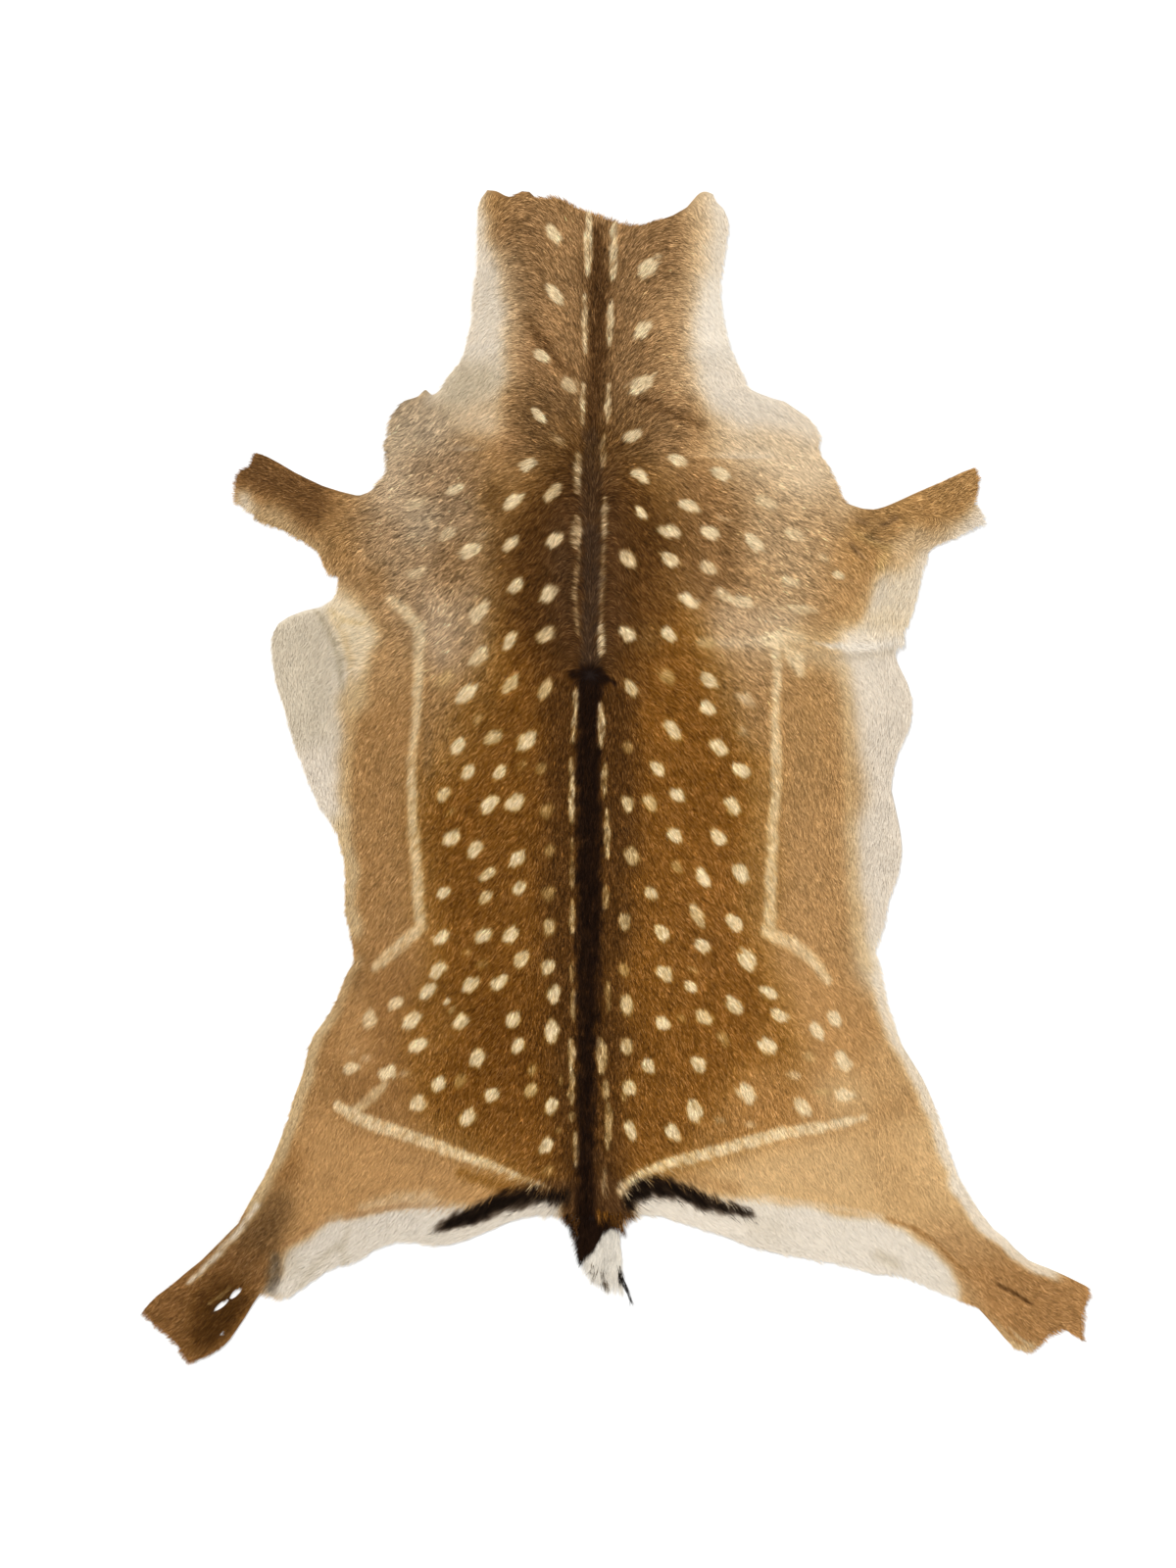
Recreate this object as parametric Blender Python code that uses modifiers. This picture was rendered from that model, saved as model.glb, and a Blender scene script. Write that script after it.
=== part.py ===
"""Fallow deer hide: one whole skin, tanned with its hair on, lying flat with the hair side up.

The outline and the folds are laid out in millimetres on a board, across from its left edge and
down from its top edge, the way a hide is stretched and marked. The part's own frame is in metres:
+X to the right, +Y to the neck, +Z up, with the origin under the middle of the hide's box.
"""

from collections import namedtuple

import bpy
import numpy as np
from mathutils import Vector
from mathutils.geometry import delaunay_2d_cdt

# Driving dimensions
MM = 0.001
COAT_THICK = 0.0052          # skin with the coat lying on it, over the back
RIM_SHARE = 0.42             # the rim's thickness, as a share of COAT_THICK
RIM_WIDTH = 9.0              # mm from the rim to the full thickness
GRID_PITCH = 25.0            # mm between the points that carry the surface
EDGE_STEP = 14.0             # mm between the points of the outline
CORNER_TURN = 0.55           # cosine: an outline point that turns more than this stays a corner
PART_GAP = 0.3               # mm between the hide and the tail's brush
BOARD_MIDDLE = (628.5, 792.0)   # mm, the middle of the hide's box on the board
TAIL_THICK = 0.0075          # the tail's dock with the hair on it
TAIL_RIM_SHARE = 0.22        # the thickness of its locks' tips, as a share of TAIL_THICK
TAIL_PITCH = 14.0            # mm between the points that carry the tail's surface

# How the coat's depth goes over the hide
THIN_FROM = 120.0            # mm off the backbone, where it starts to thin
THIN_OVER = 180.0            # mm that it takes to thin
THIN_BY = 0.35               # the share of its depth that is gone there
TUFT_DEPTH = 0.05            # the share of its depth that tufts add and take
TUFT_ACROSS = 17.0           # mm of the board to one radian of the tufts' waves
TUFT_DOWN = 23.0

# How the surface's points are spread
CREASE_STEP = 13.0           # mm between the points along a fold
CREASE_GAP = 5.0             # mm that they keep from each other
RIM_CLEAR = 0.62             # of RIM_WIDTH: from the rim to the nearest point within
RING_STEP = 0.9              # of the pitch: between the points of the ring within the rim
RING_GAP = 0.42              # of the pitch: that they keep from the creases' points
GRID_CLEAR = 0.5             # of the pitch: from the rim to the lattice
GRID_GAP = 0.6               # of the pitch: from the lattice's points to the others
ROW_PITCH = 0.866            # of the pitch: between the lattice's rows, half the root of 3

# Sections across the trunk, from the neck down to the thighs: its left edge and its right edge.
Cut = namedtuple("Cut", "left_x left_y right_x right_y")
NECK_AND_SHOULDERS = [
    Cut(487, 222, 743, 222),
    Cut(488, 250, 741, 248),
    Cut(487, 280, 736, 276),
    Cut(483, 301, 735, 300),
    Cut(483, 320, 737, 320),
    Cut(480, 332, 740, 335),
    Cut(476, 350, 743, 349),
    Cut(470, 368, 749, 364),
    Cut(459, 380, 757, 379),
    Cut(450, 396, 763, 395),
    Cut(442, 403, 775, 401),
    Cut(434, 396, 789, 406),
    Cut(426, 404, 801, 409),
    Cut(412, 408, 813, 417),
    Cut(403, 418, 825, 425),
    Cut(397, 430, 832, 434),
    Cut(398, 443, 836, 447),
    Cut(392, 453, 835, 460),
    Cut(395, 468, 843, 471),
    Cut(395, 480, 849, 484),
    Cut(387, 491, 858, 505),
]
FLANKS_AND_THIGHS = [
    Cut(336, 586, 932, 624),
    Cut(345, 589, 927, 637),
    Cut(345, 600, 921, 646),
    Cut(339, 611, 925, 654),
    Cut(327, 619, 919, 659),
    Cut(311, 622, 912, 660),
    Cut(295, 628, 914, 668),
    Cut(283, 636, 917, 677),
    Cut(278, 646, 922, 687),
    Cut(277, 660, 927, 697),
    Cut(278, 676, 930, 708),
    Cut(280, 693, 931, 720),
    Cut(284, 707, 931, 733),
    Cut(291, 727, 926, 747),
    Cut(297, 745, 920, 760),
    Cut(303, 768, 915, 775),
    Cut(315, 797, 911, 790),
    Cut(323, 817, 910, 805),
    Cut(333, 833, 914, 822),
    Cut(343, 847, 918, 840),
    Cut(348, 863, 921, 862),
    Cut(352, 885, 919, 884),
    Cut(352, 908, 912, 903),
    Cut(352, 930, 906, 921),
    Cut(357, 950, 902, 938),
    Cut(360, 967, 898, 954),
    Cut(361, 981, 892, 964),
    Cut(354, 991, 896, 979),
    Cut(350, 1002, 900, 1000),
    Cut(342, 1022, 904, 1020),
    Cut(331, 1040, 911, 1040),
    Cut(319, 1056, 917, 1058),
    Cut(314, 1070, 928, 1077),
    Cut(309, 1093, 941, 1098),
    Cut(300, 1117, 951, 1120),
    Cut(294, 1140, 958, 1142),
    Cut(286, 1160, 964, 1160),
    Cut(278, 1181, 971, 1182),
    Cut(269, 1200, 979, 1201),
]

# Sections across each leg, from the trunk out to where it was cut off: the leg's front edge,
# towards the neck, and its back edge.
Leg = namedtuple("Leg", "front_x front_y back_x back_y")
LEFT_FORELEG = [
    Leg(377, 501, 330, 578),
    Leg(366, 505, 325, 564),
    Leg(349, 501, 313, 555),
    Leg(330, 495, 303, 549),
    Leg(315, 488, 290, 542),
    Leg(301, 481, 277, 537),
    Leg(286, 472, 265, 532),
    Leg(273, 465, 255, 522),
    Leg(261, 461, 240, 513),
]
RIGHT_FORELEG = [
    Leg(862, 512, 935, 613),
    Leg(880, 518, 939, 599),
    Leg(892, 519, 942, 579),
    Leg(903, 516, 949, 563),
    Leg(917, 510, 960, 554),
    Leg(932, 503, 972, 551),
    Leg(948, 496, 984, 544),
    Leg(965, 489, 994, 539),
    Leg(981, 481, 1002, 535),
]
LEFT_SHANK = [
    Leg(260, 1215, 276, 1323),
    Leg(251, 1231, 268, 1318),
    Leg(243, 1247, 259, 1331),
    Leg(231, 1259, 252, 1343),
    Leg(219, 1271, 246, 1352),
    Leg(205, 1285, 240, 1361),
    Leg(190, 1297, 233, 1370),
    Leg(175, 1310, 222, 1378),
    Leg(160, 1321, 208, 1385),
]
RIGHT_SHANK = [
    Leg(990, 1221, 979, 1327),
    Leg(1002, 1238, 996, 1334),
    Leg(1014, 1253, 1006, 1345),
    Leg(1027, 1263, 1015, 1355),
    Leg(1036, 1273, 1025, 1367),
    Leg(1050, 1285, 1037, 1377),
]

# The rump's lower edge on both sides, at sections this far from the backbone.
Rump = namedtuple("Rump", "off_backbone left_y right_y")
BACKBONE_X = 603
RUMP = [
    Rump(60, 1240, 1238),
    Rump(75, 1244, 1242),
    Rump(95, 1253, 1248),
    Rump(115, 1261, 1254),
    Rump(135, 1268, 1261),
    Rump(155, 1271, 1270),
    Rump(175, 1267, 1275),
    Rump(195, 1266, 1279),
    Rump(215, 1272, 1283),
    Rump(230, 1283, 1285),
    Rump(246, 1289, 1288),
    Rump(262, 1292, 1290),
    Rump(277, 1304, 1295),
    Rump(293, 1313, 1301),
    Rump(311, 1324, 1299),
    Rump(345, 1320, 1314),
]
RUMP_LEFT_SECTIONS = 15      # the left thigh starts one section before the last

# Where the neck and the legs were cut off, each from its front or left edge to the other.
Point = namedtuple("Point", "x y")
NECK_END = [
    Point(487, 212),
    Point(490, 202),
    Point(497, 193),
    Point(507, 194),
    Point(518, 200),
    Point(527, 199),
    Point(531, 194),
    Point(541, 195),
    Point(548, 202),
    Point(570, 202),
    Point(588, 212),
    Point(605, 218),
    Point(632, 228),
    Point(654, 230),
    Point(665, 226),
    Point(686, 219),
    Point(700, 211),
    Point(712, 197),
    Point(719, 194),
    Point(728, 197),
    Point(731, 205),
    Point(739, 212),
]
LEFT_FORELEG_END = [
    Point(258, 466),
    Point(255, 475),
    Point(246, 480),
    Point(241, 486),
    Point(239, 504),
]
RIGHT_FORELEG_END = [
    Point(995, 476),
    Point(999, 491),
    Point(994, 514),
    Point(1000, 520),
    Point(1004, 530),
]
LEFT_SHANK_END = [
    Point(150, 1331),
    Point(146, 1338),
    Point(156, 1350),
    Point(170, 1361),
    Point(183, 1375),
    Point(189, 1386),
    Point(193, 1391),
]
RIGHT_SHANK_END = [
    Point(1070, 1293),
    Point(1090, 1302),
    Point(1110, 1312),
    Point(1111, 1322),
    Point(1104, 1341),
    Point(1106, 1371),
    Point(1083, 1356),
    Point(1071, 1361),
    Point(1060, 1373),
    Point(1049, 1378),
]

# Slits that go right through the left shank, each a pointed leaf from one end to the other.
Slit = namedtuple("Slit", "x0 y0 x1 y1 width")
SLITS = [
    Slit(247.5, 1312.5, 234, 1326, 5.0),
    Slit(234, 1325, 218, 1338, 4.2),
    Slit(230, 1358.5, 224.5, 1362, 3.2),
]
SLIT_STEPS = 4

# Folds and creases: soft ridges along a line of places, with a gentle side and a steep side.
# The steep side is on the right of somebody who walks from the first place to the last.
Fold = namedtuple("Fold", "name places gentle steep height")
FOLDS = [
    Fold("left flank flap over the armpit", [(322, 624), (333, 640), (343, 668), (352, 720)], 30, 10, 7.5),
    Fold("right armpit pleat", [(918, 651), (880, 656), (840, 655), (765, 652)], 24, 10, 7.0),
    Fold("left shoulder over the neck", [(438, 402), (458, 424), (474, 441), (496, 455)], 24, 10, 5.5),
    Fold("right neck crease, upper", [(700, 408), (750, 413), (806, 416)], 16, 14, 3.2),
    Fold("right neck crease, lower", [(728, 432), (780, 441), (832, 455)], 16, 14, 3.0),
    Fold("left wall of the neck's valley", [(518, 300), (534, 352), (560, 396)], 24, 20, 4.2),
    Fold("right wall of the neck's valley", [(568, 306), (592, 348), (604, 392)], 20, 20, 3.6),
    Fold("ridge over the throat's right", [(645, 388), (690, 412), (722, 420)], 22, 18, 4.0),
    Fold("ridge under the throat's right", [(636, 428), (680, 446), (712, 448)], 22, 18, 3.4),
    Fold("rolled left edge of the neck", [(495, 222), (496, 262), (490, 318)], 11, 9, 5.0),
    Fold("right side of the neck", [(700, 364), (726, 360), (746, 362)], 14, 14, 3.0),
    Fold("curled rim of the left shank", [(263, 1218), (238, 1257), (206, 1290), (174, 1315)], 9, 8, 4.5),
    Fold("curled rim of the right thigh", [(955, 1150), (974, 1204), (1000, 1246), (1034, 1281)], 9, 9, 4.0),
    Fold("left thigh over the shank", [(276, 1312), (279, 1294), (294, 1273), (326, 1256)], 26, 9, 6.5),
    Fold("right shank crease", [(1000, 1298), (1028, 1312), (1056, 1330)], 16, 12, 3.6),
    Fold("right foreleg's folded end", [(989, 514), (984, 528), (990, 541)], 12, 8, 3.4),
]
FOLD_END = 0.04              # share of a fold's length, past which it stops fading out

# Where the skin, dried over the body's form, stands a little off the floor.
Swell = namedtuple("Swell", "x y radius_x radius_y height")
SWELLS = [
    Swell(440, 555, 70, 62, 4.5),
    Swell(785, 560, 80, 66, 4.0),
    Swell(312, 700, 34, 56, 4.0),
    Swell(395, 800, 34, 96, 3.0),
    Swell(860, 830, 42, 90, 4.0),
    Swell(380, 1098, 58, 62, 4.5),
    Swell(862, 1106, 66, 70, 4.5),
    Swell(602, 1186, 96, 44, 3.5),
    Swell(610, 250, 84, 34, 4.0),
    Swell(420, 1245, 60, 22, 3.0),
    Swell(780, 1250, 84, 22, 3.0),
]

# Sections across the tail, from its root to the tip of its bone.
Dock = namedtuple("Dock", "y left_x right_x")
TAIL_ROOT_Y = 1240
TAIL_ROOT_X = (646, 636, 580, 568)   # across the hide's edge there
DOCK = [
    Dock(TAIL_ROOT_Y + PART_GAP, 569, 645),
    Dock(1250, 583, 637),
    Dock(1262, 588, 632),
    Dock(1276, 590.5, 631.5),
    Dock(1290, 592.5, 633),
    Dock(1297, 598, 634),
]

# Rows of hair locks round the tail, from the root's left corner down, across the tip and up again:
# between two places on the dock's edge, each lock reaches out by its row's reach.
Locks = namedtuple("Locks", "x0 y0 x1 y1 count reach_x0 reach_y0 reach_x1 reach_y1")
TAIL_LOCKS = [
    Locks(569, DOCK[0].y, 583, 1250, 4, -3, 10, -5, 10),
    Locks(583, 1250, 590, 1272, 5, -5, 10, -8, 10),
    Locks(590, 1272, 593, 1292, 5, -8, 10, -5, 12),
    Locks(593, 1292, 632, 1298, 8, -1, 14, 3, 31),
    Locks(631, 1298, 634.5, 1295, 1, 14, 39, 14, 39),
    Locks(632, 1262, 645, DOCK[0].y, 5, 5, 11, 1, 7),
]
LOCK_SHOULDER = 0.6          # how far along a lock keeps most of its width
LOCK_TAPER = 0.8             # the share of its root's width that is left there
LOCK_SHARE = 0.84            # share of its pitch that a lock's root takes


def smooth_loop(places, step):
    """Closed curve through the places, a cubic from each to the next, with a point every step.

    A place's tangent halves the turn there. A sharp turn has no tangent, so it stays a corner.
    """
    points = np.array(places, dtype=float)
    chord = np.roll(points, -1, axis=0) - points
    length = np.linalg.norm(chord, axis=1)
    heading = chord / length[:, None]
    arriving = np.roll(heading, 1, axis=0)
    tangent = heading + arriving
    tangent /= np.maximum(np.linalg.norm(tangent, axis=1), 1e-9)[:, None]
    tangent[np.sum(heading * arriving, axis=1) < CORNER_TURN] = 0.0
    curve = []
    for index, start in enumerate(points):
        following = (index + 1) % len(points)
        steps = max(1, round(length[index] / step))
        t = (np.arange(steps) / steps)[:, None]
        leave = tangent[index] * length[index]
        arrive = tangent[following] * length[index]
        curve.append((2 * t ** 3 - 3 * t ** 2 + 1) * start + (t ** 3 - 2 * t ** 2 + t) * leave
                     + (3 * t ** 2 - 2 * t ** 3) * points[following] + (t ** 3 - t ** 2) * arrive)
    return np.vstack(curve)


def smooth_line(places, step):
    """Open curve through the places: a quadratic blend of the corners, with a point every step."""
    points = np.array(places, dtype=float)
    for _ in range(2):
        near = points[:-1] * 0.75 + points[1:] * 0.25
        far = points[:-1] * 0.25 + points[1:] * 0.75
        inner = np.stack([near, far], axis=1).reshape(-1, 2)
        points = np.vstack([points[:1], inner[1:-1], points[-1:]])
    along = np.concatenate([[0.0], np.cumsum(np.linalg.norm(np.diff(points, axis=0), axis=1))])
    count = max(2, round(along[-1] / step) + 1)
    wanted = np.linspace(0.0, along[-1], count)
    x = np.interp(wanted, along, points[:, 0])
    y = np.interp(wanted, along, points[:, 1])
    return np.stack([x, y], axis=1)


def hide_outline():
    """The hide's rim as a closed loop, from the neck's left corner clockwise on the board."""
    loop = [(point.x, point.y) for point in NECK_END]
    loop += [(cut.right_x, cut.right_y) for cut in NECK_AND_SHOULDERS]
    loop += [(leg.front_x, leg.front_y) for leg in RIGHT_FORELEG]
    loop += [(point.x, point.y) for point in RIGHT_FORELEG_END]
    loop += [(leg.back_x, leg.back_y) for leg in reversed(RIGHT_FORELEG)]
    loop += [(cut.right_x, cut.right_y) for cut in FLANKS_AND_THIGHS]
    loop += [(leg.front_x, leg.front_y) for leg in RIGHT_SHANK]
    loop += [(point.x, point.y) for point in RIGHT_SHANK_END]
    loop += [(leg.back_x, leg.back_y) for leg in reversed(RIGHT_SHANK)]
    loop += [(BACKBONE_X + rump.off_backbone, rump.right_y) for rump in reversed(RUMP)]
    loop += [(x, TAIL_ROOT_Y) for x in TAIL_ROOT_X]
    loop += [(BACKBONE_X - rump.off_backbone, rump.left_y) for rump in RUMP[:RUMP_LEFT_SECTIONS]]
    loop += [(leg.back_x, leg.back_y) for leg in LEFT_SHANK]
    loop += [(point.x, point.y) for point in reversed(LEFT_SHANK_END)]
    loop += [(leg.front_x, leg.front_y) for leg in reversed(LEFT_SHANK)]
    loop += [(cut.left_x, cut.left_y) for cut in reversed(FLANKS_AND_THIGHS)]
    loop += [(leg.back_x, leg.back_y) for leg in LEFT_FORELEG]
    loop += [(point.x, point.y) for point in reversed(LEFT_FORELEG_END)]
    loop += [(leg.front_x, leg.front_y) for leg in reversed(LEFT_FORELEG)]
    loop += [(cut.left_x, cut.left_y) for cut in reversed(NECK_AND_SHOULDERS)]
    return smooth_loop(loop, EDGE_STEP)


def slit_outline(slit):
    """A pointed leaf: half its width times the sine of the way along, on both sides."""
    start = np.array([slit.x0, slit.y0])
    run = np.array([slit.x1, slit.y1]) - start
    across = np.array([-run[1], run[0]]) / np.linalg.norm(run)
    t = np.arange(SLIT_STEPS) / SLIT_STEPS
    bulge = 0.5 * slit.width * np.sin(np.pi * t)
    there = start + t[:, None] * run + bulge[:, None] * across
    back = start + (1.0 - t)[:, None] * run - bulge[:, None] * across
    return np.vstack([there, back])


def tail_outline():
    """The dock's rim with a pointed lock of hair at each step round it.

    A lock goes from its root to a shoulder, its tip, the other shoulder and the root again.
    """
    loop = [(DOCK[0].right_x, DOCK[0].y), (DOCK[0].left_x, DOCK[0].y)]
    for row in TAIL_LOCKS:
        edge = np.array([row.x1 - row.x0, row.y1 - row.y0])
        for index in range(row.count):
            middle = (index + 0.5) / row.count
            root = np.array([row.x0, row.y0]) + edge * middle
            half = 0.5 * LOCK_SHARE / row.count * edge
            reach = np.array([row.reach_x0 + (row.reach_x1 - row.reach_x0) * middle,
                              row.reach_y0 + (row.reach_y1 - row.reach_y0) * middle])
            shoulder = root + LOCK_SHOULDER * reach
            loop += [root - half, shoulder - LOCK_TAPER * half, root + reach]
            loop += [shoulder + LOCK_TAPER * half, root + half]
    return np.array(loop)


def inside(points, loop):
    """Which points lie inside a closed loop, by the number of its edges that lie to their right."""
    following = np.roll(loop, -1, axis=0)
    x = points[:, 0][:, None]
    y = points[:, 1][:, None]
    straddles = (loop[:, 1] > y) != (following[:, 1] > y)
    rise = np.where(following[:, 1] == loop[:, 1], 1e-9, following[:, 1] - loop[:, 1])
    crossing = loop[:, 0] + (y - loop[:, 1]) * (following[:, 0] - loop[:, 0]) / rise
    return np.sum(straddles & (x < crossing), axis=1) % 2 == 1


def distance(points, line, closed):
    """Distance of each point from a line of points, and the signed side and way along it."""
    start = line if closed else line[:-1]
    end = np.roll(line, -1, axis=0) if closed else line[1:]
    run = end - start
    length = np.linalg.norm(run, axis=1)
    offset = points[:, None, :] - start[None, :, :]
    t = np.clip(np.sum(offset * run, axis=2) / length ** 2, 0.0, 1.0)
    gap = offset - t[:, :, None] * run
    far = np.linalg.norm(gap, axis=2)
    nearest = np.argmin(far, axis=1)
    row = np.arange(len(points))
    turn = run[nearest, 0] * offset[row, nearest, 1] - run[nearest, 1] * offset[row, nearest, 0]
    along = (np.concatenate([[0.0], np.cumsum(length)])[nearest] + t[row, nearest] * length[nearest])
    return far[row, nearest], np.sign(turn), along / length.sum()


def lift(points):
    """Height of the skin's underside over the floor, in mm, at places on the board.

    A swell is a raised cosine over its ellipse, and a fold a raised cosine across its line, with
    its own width on each side and fading out towards its ends. The highest one counts.
    """
    height = np.zeros(len(points))
    for swell in SWELLS:
        across = (points[:, 0] - swell.x) / swell.radius_x
        down = (points[:, 1] - swell.y) / swell.radius_y
        radius = np.minimum(np.hypot(across, down), 1.0)
        height = np.maximum(height, swell.height * np.cos(0.5 * np.pi * radius) ** 2)
    for fold in FOLDS:
        far, side, along = distance(points, smooth_line(fold.places, CREASE_STEP), closed=False)
        width = np.where(side > 0, fold.steep, fold.gentle)
        fade = np.sin(np.pi * np.clip(along, FOLD_END, 1.0 - FOLD_END)) ** 0.5
        ridge = fold.height * fade * np.cos(0.5 * np.pi * np.minimum(far / width, 1.0)) ** 2
        height = np.maximum(height, ridge)
    return height


def fold_points():
    """Rows of points along each fold's crest, its steep foot and its gentle side."""
    rows = []
    for fold in FOLDS:
        crest = smooth_line(fold.places, CREASE_STEP)
        run = np.gradient(crest, axis=0)
        run /= np.linalg.norm(run, axis=1)[:, None]
        right = np.stack([-run[:, 1], run[:, 0]], axis=1)
        for shift in (0.0, fold.steep, 0.5 * fold.steep, -0.5 * fold.gentle, -fold.gentle):
            rows.append(crest + shift * right)
    return np.vstack(rows)


def inset_points(loop, depth, step):
    """Points at one depth inside the loop, where the rim reaches its full thickness."""
    ring = smooth_loop(loop, step)
    run = np.roll(ring, -1, axis=0) - np.roll(ring, 1, axis=0)
    run /= np.maximum(np.linalg.norm(run, axis=1), 1e-9)[:, None]
    inward = np.stack([-run[:, 1], run[:, 0]], axis=1)
    return ring + depth * inward


def lattice(low, high, pitch):
    """Points of a triangular lattice over a box."""
    rows = np.arange(low[1], high[1], ROW_PITCH * pitch)
    points = []
    for index, y in enumerate(rows):
        across = np.arange(low[0] + 0.5 * pitch * (index % 2), high[0], pitch)
        points.append(np.stack([across, np.full(len(across), y)], axis=1))
    return np.vstack(points)


def spread(chosen, candidates, gap):
    """Adds each candidate that keeps the gap to all that were chosen before it."""
    kept = list(chosen)
    for candidate in candidates:
        if not kept or np.min(np.sum((np.array(kept) - candidate) ** 2, axis=1)) >= gap ** 2:
            kept.append(candidate)
    return kept


def surface_points(loop, holes, creases, pitch):
    """Points inside the rim: along the creases, in a ring within the rim, then a lattice."""
    rim = np.vstack([loop] + holes)
    clear = RIM_CLEAR * RIM_WIDTH

    def usable(points, margin):
        points = points[inside(points, loop)]
        far = distance(points, loop, closed=True)[0]
        for hole in holes:
            to_hole = distance(points, hole, closed=True)[0]
            far = np.where(inside(points, hole), 0.0, np.minimum(far, to_hole))
        return points[far > margin]

    ring = inset_points(loop, RIM_WIDTH, RING_STEP * pitch)
    field = lattice(loop.min(axis=0), loop.max(axis=0), pitch)
    chosen = spread(list(rim), usable(creases, clear), CREASE_GAP)
    chosen = spread(chosen, usable(ring, clear), RING_GAP * pitch)
    chosen = spread(chosen, usable(field, GRID_CLEAR * pitch), GRID_GAP * pitch)
    return np.array(chosen[len(rim):])


def make_sheet(name, loop, holes, inner, heights, thickness, rim_share, fullness, collection):
    """One sheet: triangles between the rim, the slits and the inner points, lifted and thickened."""
    outlines = [loop] + holes
    points = np.vstack(outlines + [inner])
    edges = []
    first = 0
    for outline in outlines:
        count = len(outline)
        edges += [(first + index, first + (index + 1) % count) for index in range(count)]
        first += count
    flat = [Vector((float(x), float(y))) for x, y in points]
    found, _, faces, _, _, _ = delaunay_2d_cdt(flat, edges, [], 1, 1e-5)
    placed = np.array([[point.x, point.y] for point in found])
    centres = np.array([placed[list(face)].mean(axis=0) for face in faces])
    keep = inside(centres, loop)
    for hole in holes:
        keep &= ~inside(centres, hole)
    faces = [list(face) for face, kept in zip(faces, keep) if kept]
    z = heights(placed) * MM
    x = (placed[:, 0] - BOARD_MIDDLE[0]) * MM
    y = (BOARD_MIDDLE[1] - placed[:, 1]) * MM
    mesh = bpy.data.meshes.new(name)
    mesh.from_pydata(np.stack([x, y, z], axis=1).tolist(), [], faces)
    mesh.update()
    if mesh.polygons[0].normal.z < 0:
        mesh.flip_normals()
    sheet = bpy.data.objects.new(name, mesh)
    collection.objects.link(sheet)
    group = sheet.vertex_groups.new(name="coat")
    for index, weight in enumerate(fullness(placed)):
        group.add([index], float(weight), "REPLACE")
    solidify = sheet.modifiers.new("skin and coat", "SOLIDIFY")
    solidify.thickness = thickness
    solidify.offset = 1.0
    solidify.vertex_group = group.name
    solidify.thickness_vertex_group = rim_share
    return sheet


def coat_fullness(points, loop, holes):
    """The coat's depth from 0 at the rim to 1 over the back, thinner on the legs and the belly."""
    far = distance(points, loop, closed=True)[0]
    for hole in holes:
        far = np.minimum(far, distance(points, hole, closed=True)[0])
    rim = np.clip(far / RIM_WIDTH, 0.0, 1.0)
    off_back = np.abs(points[:, 0] - BACKBONE_X)
    depth = 1.0 - THIN_BY * np.clip((off_back - THIN_FROM) / THIN_OVER, 0.0, 1.0)
    tufts = TUFT_DEPTH * np.sin(points[:, 0] / TUFT_ACROSS) * np.sin(points[:, 1] / TUFT_DOWN)
    return np.clip(rim * (depth + tufts), 0.0, 1.0)


def tail_fullness(points):
    """The tail's depth: full along the dock, falling to nothing over the locks."""
    rows = np.array([[dock.y, dock.left_x, dock.right_x] for dock in DOCK])
    left = np.interp(points[:, 1], rows[:, 0], rows[:, 1])
    right = np.interp(points[:, 1], rows[:, 0], rows[:, 2])
    depth = np.minimum(points[:, 0] - left, right - points[:, 0])
    depth = np.minimum(depth, DOCK[-1].y - points[:, 1])
    return np.clip(depth / RIM_WIDTH, 0.0, 1.0)


def coat_material(name, colour, roughness):
    """A plain coat of hair."""
    material = bpy.data.materials.new(name)
    material.use_nodes = True
    shader = material.node_tree.nodes["Principled BSDF"]
    shader.inputs["Base Color"].default_value = (*colour, 1.0)
    shader.inputs["Roughness"].default_value = roughness
    shader.inputs["Metallic"].default_value = 0.0
    return material


# Start from an empty scene, with one collection for the part.
for leftover in list(bpy.data.objects):
    bpy.data.objects.remove(leftover, do_unlink=True)
part = bpy.data.collections.new("fallow_deer_hide")
bpy.context.scene.collection.children.link(part)

# The hide itself: one skin with its coat, cut at the neck, the legs and the tail's root.
rim_loop = hide_outline()
slit_loops = [slit_outline(slit) for slit in SLITS]
hide_inner = surface_points(rim_loop, slit_loops, fold_points(), GRID_PITCH)
hide = make_sheet("hide", rim_loop, slit_loops, hide_inner, lift, COAT_THICK, RIM_SHARE,
                  lambda points: coat_fullness(points, rim_loop, slit_loops), part)
hide.data.materials.append(coat_material("deer_coat", (0.27, 0.135, 0.055), 0.85))

# The tail: its short dock with the brush of hair round it, which lies on the floor.
tail_loop = tail_outline()
dock_line = np.array([[0.5 * (dock.left_x + dock.right_x), dock.y] for dock in DOCK[1:]])
tail_inner = surface_points(tail_loop, [], dock_line, TAIL_PITCH)
tail = make_sheet("tail_brush", tail_loop, [], tail_inner, lambda points: np.zeros(len(points)),
                  TAIL_THICK, TAIL_RIM_SHARE, tail_fullness, part)
tail.data.materials.append(coat_material("tail_hair", (0.075, 0.05, 0.035), 0.8))
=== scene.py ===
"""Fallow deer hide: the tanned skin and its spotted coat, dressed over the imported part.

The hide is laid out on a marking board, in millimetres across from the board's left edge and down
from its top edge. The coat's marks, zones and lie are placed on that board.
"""

from collections import namedtuple

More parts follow.
